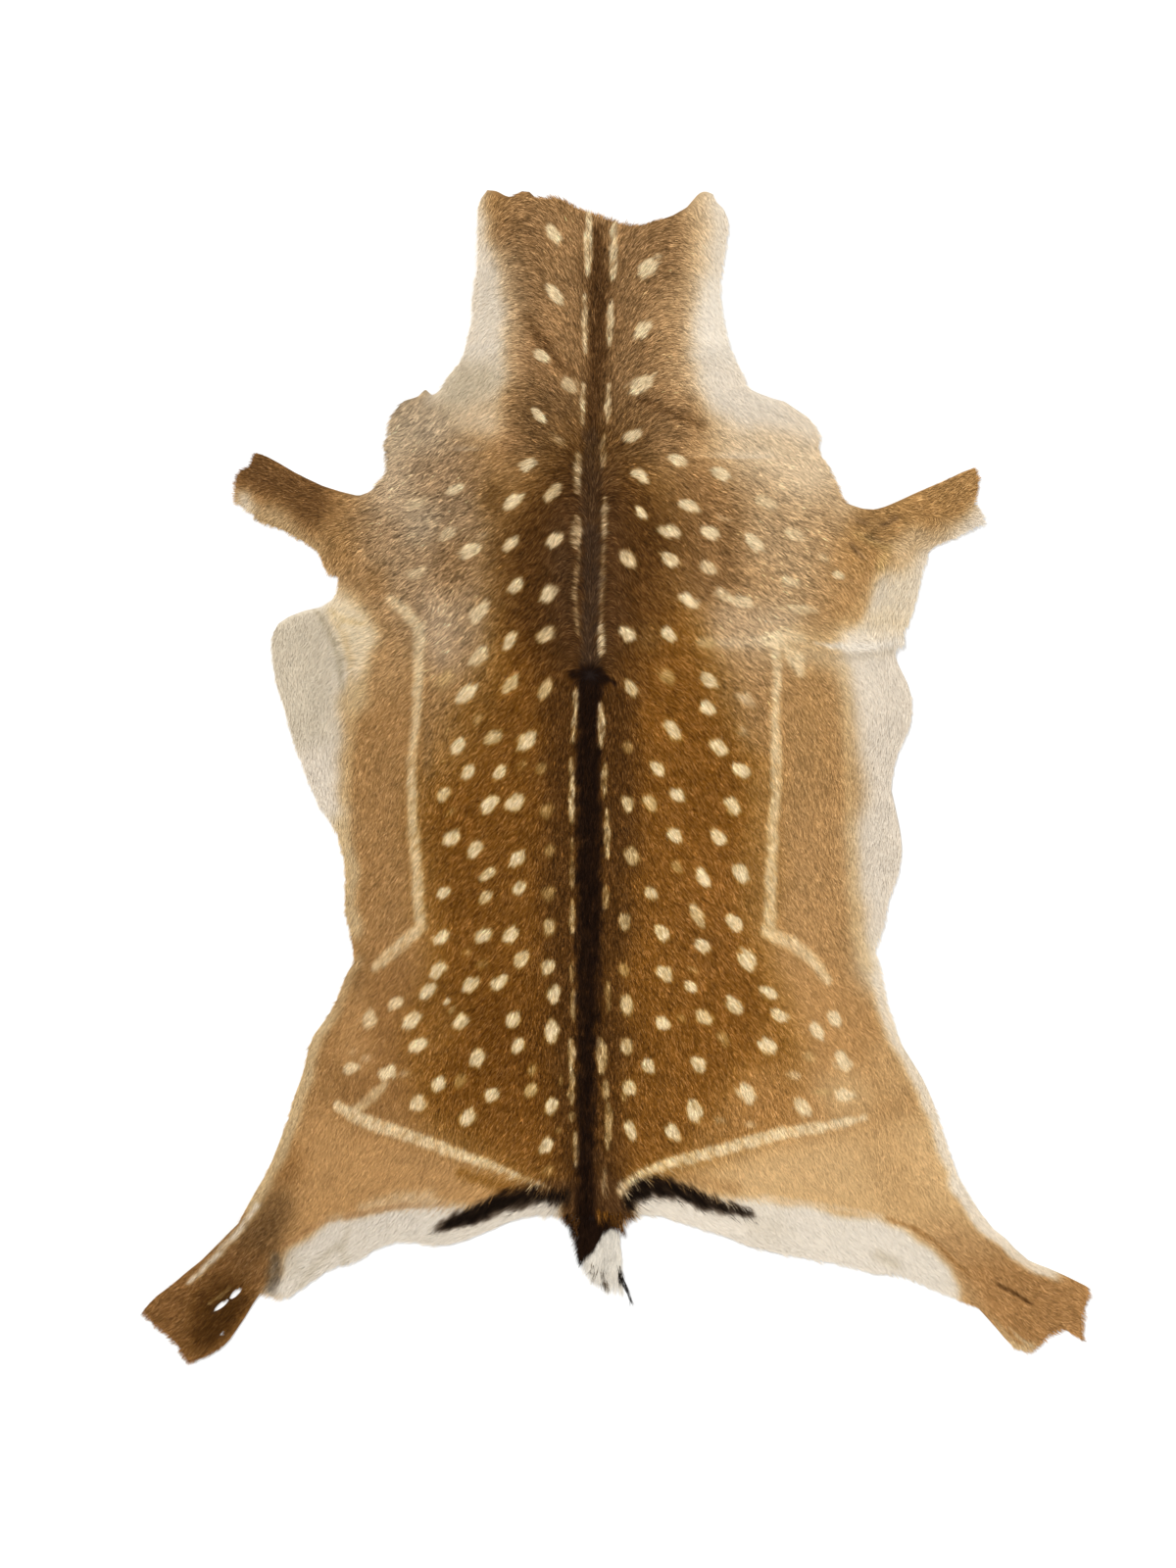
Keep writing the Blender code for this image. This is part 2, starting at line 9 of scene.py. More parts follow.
import bpy
import numpy as np
from mathutils.bvhtree import BVHTree
from mathutils.geometry import delaunay_2d_cdt
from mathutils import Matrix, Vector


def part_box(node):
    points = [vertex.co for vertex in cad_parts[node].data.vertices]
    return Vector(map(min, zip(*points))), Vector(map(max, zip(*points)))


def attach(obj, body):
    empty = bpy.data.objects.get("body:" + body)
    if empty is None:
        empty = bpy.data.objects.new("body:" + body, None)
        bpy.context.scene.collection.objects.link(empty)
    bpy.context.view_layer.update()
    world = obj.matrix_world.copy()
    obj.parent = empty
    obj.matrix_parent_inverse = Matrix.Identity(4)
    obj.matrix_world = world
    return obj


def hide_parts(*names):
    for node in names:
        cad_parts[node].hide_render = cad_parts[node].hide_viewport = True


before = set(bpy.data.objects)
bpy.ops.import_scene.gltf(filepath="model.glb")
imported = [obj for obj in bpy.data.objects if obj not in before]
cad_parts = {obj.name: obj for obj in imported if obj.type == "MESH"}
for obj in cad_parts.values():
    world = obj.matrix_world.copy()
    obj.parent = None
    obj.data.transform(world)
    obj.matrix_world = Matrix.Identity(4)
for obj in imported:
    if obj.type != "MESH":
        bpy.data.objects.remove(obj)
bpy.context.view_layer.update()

# The skin: one deer skin, tanned to soft leather about 1.3 mm thick, cut open along the belly and
# dried flat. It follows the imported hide's underside, rim and slits, and adds the finer creases.
MM = 0.001
BOARD_MIDDLE = (628.5, 792.0)     # mm, the middle of the hide's box on the board
BOARD_MARGIN = 30                 # mm of board past the hide's box
BOARD_BLOCK = 64                  # the board's sides are multiples of this, in squares of 1 mm
SKIN_THICK = 1.3                  # mm
SKIN_INSET = 1.1                  # mm from the coat's reach back to the leather's cut edge
SKIN_PITCH = 6.0                  # mm between the points of the leather
RIM_STEP = 4.0                    # mm between the points of its cut edge
LIFT_STEP = 4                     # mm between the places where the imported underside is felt
LIFT_BLUR = 4.5                   # mm over which its facets are smoothed
RIM_REACH = 40.0                  # mm within the rim where the distance to it is known
FACES_DOWN = -0.3                 # upward share of a face's normal, for a face of the underside

box_low, box_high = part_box("hide")
left = int(BOARD_MIDDLE[0] + box_low.x / MM) - BOARD_MARGIN
top = int(BOARD_MIDDLE[1] - box_high.y / MM) - BOARD_MARGIN
wide = -(-int((box_high.x - box_low.x) / MM + 2 * BOARD_MARGIN) // BOARD_BLOCK) * BOARD_BLOCK
tall = -(-int((box_high.y - box_low.y) / MM + 2 * BOARD_MARGIN) // BOARD_BLOCK) * BOARD_BLOCK
across, down = np.meshgrid(left + 0.5 + np.arange(wide), top + 0.5 + np.arange(tall))


def read(chart, x, y):
    """A chart's value at places on the board: the four squares round each, by their nearness."""
    u = np.clip(x - left - 0.5, 0.0, wide - 1.001)
    v = np.clip(y - top - 0.5, 0.0, tall - 1.001)
    i, j = u.astype(int), v.astype(int)
    fu, fv = u - i, v - j
    if chart.ndim == 3:
        fu, fv = fu[..., None], fv[..., None]
    upper = chart[j, i] * (1.0 - fu) + chart[j, i + 1] * fu
    lower = chart[j + 1, i] * (1.0 - fu) + chart[j + 1, i + 1] * fu
    return upper * (1.0 - fv) + lower * fv


def soften(chart, spread):
    """A chart blurred by a bell of that spread in squares: each wave shrinks by the bell's own."""
    u = np.fft.rfftfreq(chart.shape[1])
    v = np.fft.fftfreq(chart.shape[0])
    bell = np.exp(-2.0 * (np.pi * spread) ** 2 * (u[None, :] ** 2 + v[:, None] ** 2))
    return np.fft.irfft2(np.fft.rfft2(chart) * bell, chart.shape)


def cloud(grain, seed):
    """Smooth noise over the board: white noise blurred to its grain, then spread to 1 again."""
    noise = soften(np.random.default_rng(seed).standard_normal(across.shape), grain)
    return noise / noise.std()


def step_up(value, start, end):
    """0 below start, 1 above end, and between them the cubic that is level at both."""
    t = np.clip((value - start) / (end - start), 0.0, 1.0)
    return t * t * (3.0 - 2.0 * t)


def window(x, y, reach):
    """The rows and columns of the board within reach of some places."""
    rows = slice(max(0, int(np.min(y) - reach - top)), max(0, int(np.max(y) + reach - top) + 2))
    columns = slice(max(0, int(np.min(x) - reach - left)), max(0, int(np.max(x) + reach - left) + 2))
    return rows, columns


def beside(places, reach):
    """Each square's distance from a line of places, up to reach, and its share of the way along.

    For each run of the line it is the gap to the nearest place of the run, and the least counts.
    """
    line = np.asarray(places, float)
    walked = np.concatenate([[0.0], np.cumsum(np.hypot(*np.diff(line[:, :2], axis=0).T))])
    far = np.full(across.shape, float(reach))
    along = np.zeros(across.shape)
    for index in range(len(line) - 1):
        start, run = line[index, :2], line[index + 1, :2] - line[index, :2]
        if not run.any():
            continue
        there = window(line[index:index + 2, 0], line[index:index + 2, 1], reach)
        x, y = across[there] - start[0], down[there] - start[1]
        t = np.clip((x * run[0] + y * run[1]) / (run @ run), 0.0, 1.0)
        gap = np.hypot(x - t * run[0], y - t * run[1])
        closer = gap < far[there]
        far[there] = np.where(closer, gap, far[there])
        here = (walked[index] + t * (walked[index + 1] - walked[index])) / walked[-1]
        along[there] = np.where(closer, here, along[there])
    return far, along


def within(x, y, loop):
    """Which places lie inside a closed loop: those with an odd number of its edges to their right."""
    odd = np.zeros(np.shape(x), bool)
    for (x0, y0), (x1, y1) in zip(loop, np.roll(loop, -1, axis=0)):
        if y0 != y1:
            odd ^= ((y0 > y) != (y1 > y)) & (x < x0 + (y - y0) * (x1 - x0) / (y1 - y0))
    return odd


def underside(node):
    """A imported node's points, each once, in metres, and the triangles that face down."""
    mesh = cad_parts[node].data
    places = np.empty(len(mesh.vertices) * 3)
    mesh.vertices.foreach_get("co", places)
    mesh.calc_loop_triangles()
    corners = np.empty(len(mesh.loop_triangles) * 3, int)
    mesh.loop_triangles.foreach_get("vertices", corners)
    points, same = np.unique(places.reshape(-1, 3).round(6), axis=0, return_inverse=True)
    triangles = same.ravel()[corners].reshape(-1, 3)
    a, b, c = (points[triangles[:, k]] for k in range(3))
    normal = np.cross(b - a, c - a)
    upward = normal[:, 2] / np.maximum(np.linalg.norm(normal, axis=1), 1e-12)
    return points, triangles[upward < FACES_DOWN]


def open_sides(triangles):
    """The sides that only one of the triangles has, each run as its triangle runs it."""
    sides = {pair for t in triangles.tolist() for pair in zip(t, t[1:] + t[:1])}
    return sorted((a, b) for a, b in sides if (b, a) not in sides)


def rims(triangles):
    """The closed loops of a sheet's open sides, the longest first."""
    onward = dict(open_sides(triangles))
    loops = []
    while onward:
        start, here = onward.popitem()
        loop = [start]
        while here != start:
            loop.append(here)
            here = onward.pop(here)
        loops.append(loop)
    return sorted(loops, key=len, reverse=True)


def even_steps(loop, step):
    """A closed loop again, with its points about one step apart."""
    closed = np.vstack([loop, loop[:1]])
    walked = np.concatenate([[0.0], np.cumsum(np.hypot(*np.diff(closed, axis=0).T))])
    at = np.arange(max(8, round(walked[-1] / step))) * walked[-1] / max(8, round(walked[-1] / step))
    return np.stack([np.interp(at, walked, closed[:, 0]), np.interp(at, walked, closed[:, 1])], axis=1)


def drawn_in(loop, depth):
    """A closed loop moved into its left side, or for a negative depth into its right side."""
    run = np.roll(loop, -1, axis=0) - np.roll(loop, 1, axis=0)
    run /= np.maximum(np.linalg.norm(run, axis=1), 1e-9)[:, None]
    return loop + depth * np.stack([run[:, 1], -run[:, 0]], axis=1)


def turning(loop):
    """Twice the area that a loop encloses, positive where it runs clockwise on the board."""
    x, y = loop.T
    return np.sum(x * np.roll(y, -1) - np.roll(x, -1) * y)


hide_points, hide_under = underside("hide")
hide_rims = []
for rim in rims(hide_under):
    on_board = np.stack([BOARD_MIDDLE[0] + hide_points[rim, 0] / MM,
                         BOARD_MIDDLE[1] - hide_points[rim, 1] / MM], axis=1)
    hide_rims.append(on_board if turning(on_board) > 0 else on_board[::-1])

# How far each square is from the rim, positive on the hide and negative beside it and in its slits.
rim_gap = np.full(across.shape, RIM_REACH)
for loop in hide_rims:
    rim_gap = np.minimum(rim_gap, beside(np.vstack([loop, loop[:1]]), RIM_REACH)[0])
on_hide = within(across, down, hide_rims[0])
for loop in hide_rims[1:]:
    on_hide &= ~within(across, down, loop)
rim_gap = np.where(on_hide, rim_gap, -rim_gap)

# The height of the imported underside, felt from below and smoothed over its facets.
feeler = BVHTree.FromPolygons(hide_points.tolist(), hide_under.tolist())
felt_x = (across[LIFT_STEP // 2::LIFT_STEP, LIFT_STEP // 2::LIFT_STEP] - BOARD_MIDDLE[0]) * MM
felt_y = (BOARD_MIDDLE[1] - down[LIFT_STEP // 2::LIFT_STEP, LIFT_STEP // 2::LIFT_STEP]) * MM
hits = [feeler.ray_cast((x, y, -1.0), (0.0, 0.0, 1.0))[0]
        for x, y in zip(felt_x.ravel().tolist(), felt_y.ravel().tolist())]
felt = np.array([[hit.z / MM, 1.0] if hit else [0.0, 0.0] for hit in hits]).reshape(*felt_x.shape, 2)
felt = felt.repeat(LIFT_STEP, axis=0).repeat(LIFT_STEP, axis=1)[:tall, :wide]
share = soften(felt[:, :, 1], LIFT_BLUR)
lift = np.where(share > 0.02, soften(felt[:, :, 0], LIFT_BLUR) / np.maximum(share, 0.02), 0.0)

# Creases that the skin dried in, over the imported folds: positive is a ridge, negative a trough.
Crease = namedtuple("Crease", "half_width height places")
CREASES = [Crease(*row) for row in (
    (7, -1.8, [(531, 330), (552, 362), (574, 398)]),
    (5, 1.2, [(520, 236), (517, 270), (522, 306)]),
    (4, 1.0, [(489, 300), (500, 308), (508, 320)]),
    (6, 1.2, [(470, 400), (492, 408), (520, 404)]),
    (6, -1.4, [(655, 410), (690, 424), (724, 432)]),
    (5, 1.3, [(742, 392), (772, 402), (800, 420)]),
    (4, 1.2, [(770, 418), (776, 430), (790, 437)]),
    (6, -1.0, [(716, 447), (760, 452), (806, 462)]),
    (7, 1.4, [(700, 348), (722, 352), (742, 352)]),
    (5, 1.2, [(345, 640), (352, 660), (372, 676), (392, 684)]),
    (4, -1.0, [(352, 640), (362, 656), (386, 666)]),
    (5, 1.0, [(300, 640), (312, 700), (318, 770)]),
    (4, 1.2, [(806, 664), (850, 666), (888, 662), (918, 656)]),
    (4, 1.2, [(905, 575), (893, 604), (884, 636)]),
    (5, 1.0, [(893, 700), (902, 770), (900, 840)]),
    (3, 1.3, [(176, 1338), (214, 1302), (246, 1262)]),
    (3, -1.0, [(186, 1352), (222, 1330), (254, 1296)]),
    (3, 1.2, [(202, 1372), (222, 1352), (240, 1332)]),
    (5, 1.2, [(300, 1268), (316, 1290), (312, 1312)]),
    (6, 1.0, [(360, 1250), (352, 1270), (356, 1290)]),
    (3, -1.0, [(1004, 1300), (1030, 1316), (1058, 1334)]),
    (3, 1.2, [(1002, 1322), (1026, 1344), (1044, 1366)]),
    (5, 1.0, [(700, 1246), (740, 1256), (790, 1262)]),
    (5, 0.9, [(890, 1262), (915, 1280), (930, 1292)]),
)]
for crease in CREASES:
    gap, along = beside(crease.places, 2.0 * crease.half_width)
    fade = np.sin(np.pi * np.clip(along, 0.05, 0.95)) ** 0.5
    lift += crease.height * fade * np.cos(0.25 * np.pi * gap / crease.half_width) ** 2
lift = np.maximum(lift, 0.0)


def build_mesh(name, points, faces):
    """A mesh from an array of places in metres and an array of triangles, shaded smooth."""
    mesh = bpy.data.meshes.new(name)
    mesh.vertices.add(len(points))
    mesh.vertices.foreach_set("co", np.asarray(points, np.float32).ravel())
    mesh.loops.add(faces.size)
    mesh.loops.foreach_set("vertex_index", faces.astype(np.int32).ravel())
    mesh.polygons.add(len(faces))
    mesh.polygons.foreach_set("loop_start", np.arange(0, faces.size, 3, dtype=np.int32))
    mesh.polygons.foreach_set("use_smooth", np.ones(len(faces), bool))
    mesh.update(calc_edges=True)
    return mesh


def new_object(name, mesh):
    """An object of that mesh, linked into the scene."""
    piece = bpy.data.objects.new(name, mesh)
    bpy.context.scene.collection.objects.link(piece)
    return piece


def off_board(x, y, z):
    """Places in metres, for places on the board and heights in mm."""
    return np.stack([(x - BOARD_MIDDLE[0]) * MM, (BOARD_MIDDLE[1] - y) * MM, z * MM], axis=-1)


def leather_sheet():
    """Board places and triangles of the leather: its cut edge, its slits and a lattice within."""
    loops = [drawn_in(even_steps(hide_rims[0], RIM_STEP), -SKIN_INSET)]
    loops += [drawn_in(even_steps(loop, RIM_STEP), 0.5 * SKIN_INSET) for loop in hide_rims[1:]]
    rows = np.arange(top, top + tall, 0.866 * SKIN_PITCH)
    lattice_x, lattice_y = np.meshgrid(np.arange(left, left + wide, SKIN_PITCH), rows)
    lattice_x[1::2] += 0.5 * SKIN_PITCH
    field = np.stack([lattice_x.ravel(), lattice_y.ravel()], axis=1)
    field = field[read(rim_gap, field[:, 0], field[:, 1]) > SKIN_INSET + 0.6 * SKIN_PITCH]
    points = np.vstack(loops + [field])
    edges, first = [], 0
    for loop in loops:
        count = len(loop)
        edges += [(first + k, first + (k + 1) % count) for k in range(count)]
        first += count
    found, _, faces, _, _, _ = delaunay_2d_cdt(points.tolist(), edges, [], 1, 1e-4)
    places, triangles = np.array(found), np.array(faces)
    middle = places[triangles].mean(axis=1)
    keep = within(middle[:, 0], middle[:, 1], loops[0])
    for loop in loops[1:]:
        keep &= ~within(middle[:, 0], middle[:, 1], loop)
    triangles = triangles[keep]
    used, same = np.unique(triangles, return_inverse=True)
    places, triangles = places[used], same.reshape(-1, 3)
    a, b, c = (places[triangles[:, k]] for k in range(3))
    clockwise = (b - a)[:, 0] * (c - a)[:, 1] - (b - a)[:, 1] * (c - a)[:, 0] > 0
    triangles[clockwise] = triangles[clockwise][:, ::-1]
    return places, triangles


skin_places, skin_faces = leather_sheet()
skin_lift = read(lift, skin_places[:, 0], skin_places[:, 1])
skin_count = len(skin_places)
skin_walls = np.array(open_sides(skin_faces))
skin_points = np.vstack([off_board(*skin_places.T, skin_lift + SKIN_THICK),
                         off_board(*skin_places.T, skin_lift)])
a, b = skin_walls.T
skin_triangles = np.vstack([skin_faces, skin_faces[:, ::-1] + skin_count,
                            np.stack([b, a, a + skin_count], axis=1),
                            np.stack([b, a + skin_count, b + skin_count], axis=1)])
skin = new_object("hide_skin", build_mesh("hide_skin", skin_points, skin_triangles))
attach(skin, "root")
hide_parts("hide")

# How the coat lies: combed from the backbone out and down to the belly, but turned forward along
# the nape. Each row gives, at one height, the turn from straight down to outwards, in degrees,
# at 0, 25, 50 and so on millimetres from the backbone.
Comb = namedtuple("Comb", "y at_0 at_25 at_50 at_75 at_100 at_150 at_200 at_250 at_300 at_400 at_500")
COMBING = [
    Comb(200, 178, 150, 132, 92, 34, 10, 10, 30, 60, 60, 60),
    Comb(300, 176, 152, 132, 85, 42, 25, 20, 30, 60, 60, 60),
    Comb(350, 176, 156, 128, 92, 40, 30, 25, 30, 60, 60, 60),
    Comb(400, 175, 146, 130, 92, 45, 44, 42, 40, 60, 60, 60),
    Comb(440, 175, 140, 118, 98, 60, 46, 50, 50, 60, 62, 62),
    Comb(480, 172, 100, 76, 74, 60, 48, 52, 55, 60, 66, 66),
    Comb(525, 174, 34, 45, 46, 50, 58, 64, 66, 62, 66, 66),
    Comb(575, 176, 24, 42, 45, 46, 50, 56, 46, 30, 40, 40),
    Comb(640, 178, 20, 42, 42, 44, 48, 54, 42, 12, 0, 0),
    Comb(686, 178, 16, 40, 42, 42, 45, 50, 42, 18, 0, 0),
    Comb(694, 4, 14, 40, 42, 42, 44, 46, 40, 18, -5, 0),
    Comb(730, 0, 8, 38, 40, 40, 38, 38, 36, 12, -15, 0),
    Comb(775, 0, 5, 28, 38, 40, 33, 28, 20, 4, -20, 0),
    Comb(850, 0, 3, 25, 34, 38, 30, 24, 15, 4, -15, 0),
    Comb(950, 0, 3, 20, 36, 38, 35, 33, 26, 15, 10, 10),
    Comb(1000, 0, 5, 17, 34, 38, 39, 38, 36, 28, 25, 25),
    Comb(1050, 0, 5, 12, 24, 30, 34, 35, 33, 30, 28, 28),
    Comb(1100, 0, 5, 15, 24, 25, 28, 30, 31, 26, 28, 28),
    Comb(1150, 0, 5, 22, 24, 22, 22, 24, 25, 25, 30, 30),
    Comb(1200, 0, 15, 40, 46, 42, 30, 28, 28, 26, 38, 38),
    Comb(1240, 0, 25, 66, 70, 60, 45, 34, 30, 30, 44, 44),
    Comb(1270, 0, 30, 78, 80, 78, 70, 58, 46, 42, 46, 48),
    Comb(1320, 0, 30, 80, 80, 78, 72, 62, 50, 44, 46, 48),
    Comb(1400, 0, 30, 80, 80, 78, 72, 62, 50, 40, 42, 46),
]
COMB_OFF = np.array([0, 25, 50, 75, 100, 150, 200, 250, 300, 400, 500], float)
COMB_BLUR = 5.0                   # mm over which the rows and columns are smoothed
BACKBONE = [(200, 610), (420, 608), (500, 603), (1000, 600), (1300, 600)]

comb_table = np.array([row[1:] for row in COMBING], float)
backbone_x = np.interp(down[:, 0], *zip(*BACKBONE))[:, None]
off_back = np.abs(across - backbone_x)
side = np.sign(across - backbone_x)
comb_y = [row.y for row in COMBING]
by_height = np.stack([np.interp(down[:, 0], comb_y, column) for column in comb_table.T], axis=1)
turn = np.stack([np.interp(off, COMB_OFF, row) for off, row in zip(off_back, by_height)])
lie_x = soften(side * np.sin(np.radians(turn)), COMB_BLUR)
lie_y = soften(np.cos(np.radians(turn)), COMB_BLUR)

# Where a leg or a flap has a lie of its own: round a place, the heading clockwise from rightwards.
Lie = namedtuple("Lie", "x y reach heading")
LIES = [
    Lie(262, 486, 26, 196), Lie(300, 500, 26, 200), Lie(335, 520, 20, 190), Lie(270, 520, 20, 135),
    Lie(310, 550, 20, 125), Lie(340, 572, 18, 118), Lie(290, 700, 26, 78), Lie(318, 790, 26, 80),
    Lie(365, 660, 16, 172), Lie(960, 500, 26, -20), Lie(985, 492, 18, -24), Lie(905, 535, 20, 10),
    Lie(950, 545, 16, 140), Lie(912, 600, 22, 112), Lie(900, 640, 14, 100), Lie(905, 760, 26, 96),
    Lie(908, 860, 26, 98), Lie(880, 655, 8, 20), Lie(230, 1300, 26, 133), Lie(190, 1345, 30, 138),
    Lie(165, 1350, 16, 142), Lie(225, 1360, 18, 128), Lie(290, 1290, 20, 118), Lie(320, 1290, 16, 150),
    Lie(1000, 1300, 26, 42), Lie(1050, 1325, 26, 36), Lie(1085, 1335, 20, 24), Lie(1035, 1360, 18, 48),
]
for lie in LIES:
    there = window(lie.x, lie.y, 2.5 * lie.reach)
    pull = np.exp(-((across[there] - lie.x) ** 2 + (down[there] - lie.y) ** 2) / lie.reach ** 2)
    pull = np.minimum(2.0 * pull, 1.0)
    lie_x[there] += pull * (np.cos(np.radians(lie.heading)) - lie_x[there])
    lie_y[there] += pull * (np.sin(np.radians(lie.heading)) - lie_y[there])

lie_size = np.maximum(np.hypot(lie_x, lie_y), 0.05)
lie_x, lie_y = lie_x / lie_size, lie_y / lie_size
COMB_PACE = 1.0                   # mm a step along the lie
COMB_STEPS = 3                    # steps each way from a square


def combed(noise):
    """Noise drawn out along the lie: the mean of its values at steps back and forth along it."""
    total = noise.copy()
    for pace in (COMB_PACE, -COMB_PACE):
        x, y = across.copy(), down.copy()
        for _ in range(COMB_STEPS):
            x, y = x + pace * read(lie_x, x, y), y + pace * read(lie_y, x, y)
            total += read(noise, x, y)
    return total / total.std(axis=(0, 1))


# Hairs clump: fine strands a millimetre or so across and tufts of several, both along the lie.
STRAND_GRAIN, TUFT_GRAIN = 0.45, 1.7    # mm
clumps = combed(np.stack([cloud(STRAND_GRAIN, 9), cloud(TUFT_GRAIN, 10)], axis=2))
strands, tufts = np.moveaxis(clumps, 2, 0)

# How long the hair is, in mm: short on the legs, longest down the back and over the rump.
FLANK_HAIR = 9.0                  # mm, where no growth below says otherwise
hair_length = np.full(across.shape, FLANK_HAIR)
Growth = namedtuple("Growth", "length edge outline")
GROWTHS = [Growth(*row) for row in (
    (11, 20, [(380, 400), (850, 400), (860, 600), (700, 700), (500, 700), (360, 600)]),
    (10, 12, [(470, 180), (760, 180), (770, 430), (440, 430)]),
    (12, 8, [(250, 610), (385, 610), (355, 860), (320, 850)]),
    (12, 8, [(872, 650), (950, 650), (930, 980), (880, 980)]),
    (7, 10, [(230, 440), (355, 500), (340, 550), (230, 520)]),
    (7, 10, [(900, 510), (1010, 460), (1010, 520), (920, 560)]),
    (8, 14, [(130, 1340), (250, 1250), (280, 1300), (190, 1400)]),
    (9, 14, [(980, 1270), (1120, 1300), (1110, 1380), (1040, 1390)]),
    (11, 6, [(590, 430), (614, 430), (616, 1240), (586, 1240)]),
    (16, 6, [(440, 1215), (560, 1195), (640, 1190), (780, 1215), (780, 1250), (640, 1260), (560, 1250),
        (440, 1262)]),
    (14, 8, [(270, 1290), (440, 1245), (560, 1250), (560, 1290), (300, 1340)]),
    (14, 8, [(640, 1250), (900, 1250), (980, 1300), (900, 1310), (640, 1280)]),
)]
for growth in GROWTHS:
    outline = np.array(growth.outline, float)
    there = window(outline[:, 0], outline[:, 1], 3.0 * growth.edge)
    patch = soften(within(across[there], down[there], outline).astype(float), growth.edge)
    hair_length[there] += np.clip(patch, 0.0, 1.0) * (growth.length - hair_length[there])

# The coat's colours: hair grows brown, cream, white or nearly black by where it stands. They are
# put on the board in the order of their tables: broad zones first, then lines, spots and dashes.
# A few zones and lines below are painted shade or highlights over the skin's folds, not hair colour.
PIGMENTS = {
    "saddle brown": (125, 78, 20), "saddle shade": (77, 46, 12), "warm croup": (135, 86, 29),
    "saddle low": (104, 62, 11), "flank pale": (190, 149, 98), "flank shade": (164, 124, 74),
    "grizzled left": (158, 127, 92), "flap cream": (208, 194, 170), "nape brown": (150, 112, 70),
    "nape shade": (136, 99, 60), "throat orange": (172, 128, 82), "grizzled brown": (180, 148, 108),
    "grizzled grey": (180, 158, 128), "fawn": (158, 120, 76), "shoulder brown": (133, 95, 54),
    "collar pale": (220, 195, 159), "flank left": (169, 126, 75), "flank right": (181, 138, 86),
    "haunch left": (156, 111, 61), "haunch right": (185, 139, 84), "thigh left": (192, 147, 92),
    "thigh right": (211, 174, 122), "waist shade": (118, 88, 52), "foreleg dark": (114, 78, 41),
    "foreleg light": (178, 134, 79), "knee dark": (106, 75, 41), "shank dark": (74, 45, 12),
    "knee light": (180, 139, 90), "shank light": (167, 122, 72), "sand": (207, 183, 142),
    "neck white": (229, 216, 196), "throat white": (202, 184, 153), "belly white": (224, 211, 192),
    "throat light": (234, 224, 208), "fluff": (234, 215, 180), "shoulder pale": (208, 183, 150),
    "side pale": (200, 170, 134), "withers": (114, 81, 45), "croup light": (176, 127, 70),
    # 'painted shade' is no hair colour: it is the shadow of the skin's folds, painted into the coat
    "nape light": (184, 145, 98), "painted shade": (172, 156, 128), "shank brown": (134, 92, 48),
    "shank rim": (154, 108, 62), "rump white": (224, 213, 196), "cream": (235, 212, 170),
    "straw": (192, 158, 102), "frost": (220, 196, 160), "gold edge": (216, 186, 136),
    "stripe": (26, 12, 4), "nape stripe": (80, 51, 23), "mane": (72, 51, 33), "grey": (104, 92, 78),
    "rump black": (18, 10, 5), "tail white": (217, 209, 195), "straw edge": (196, 160, 98),
}


def linear(colour):
    """A colour of 0 to 255 as light: its share to the power 2.4, past the straight foot of sRGB."""
    share = np.asarray(colour, float) / 255.0
    return np.where(share <= 0.04045, share / 12.92, ((share + 0.055) / 1.055) ** 2.4)


BACK_BAND = (575.0, 640.0)        # mm across, where the left flank's colour goes over to the right's
FLANK_GRIZZLE = 0.8
RAGGED_BY, RAGGED_GRAIN = 3.0, 7.0      # mm that a zone's outline wanders, and over how many
coat = np.empty((tall, wide, 3))
right_side = step_up(across, *BACK_BAND)[:, :, None]
coat[:] = np.log(linear(PIGMENTS["flank left"])) * (1.0 - right_side)
coat += np.log(linear(PIGMENTS["flank right"])) * right_side
grizzle = np.full(across.shape, FLANK_GRIZZLE)
ragged_x, ragged_y = RAGGED_BY * cloud(RAGGED_GRAIN, 1), RAGGED_BY * cloud(RAGGED_GRAIN, 2)


def tint(there, mask, pigment, contrast=None):
    """Lays a pigment over part of the board, by the mask: the coat is held as the log of its light.

    Mixed that way, brown goes to white by way of gold, as it does where hairs of both thin out.
    """
    coat[there] += mask[..., None] * (np.log(linear(PIGMENTS[pigment])) - coat[there])
    if contrast is not None:
        grizzle[there] += mask * (contrast - grizzle[there])


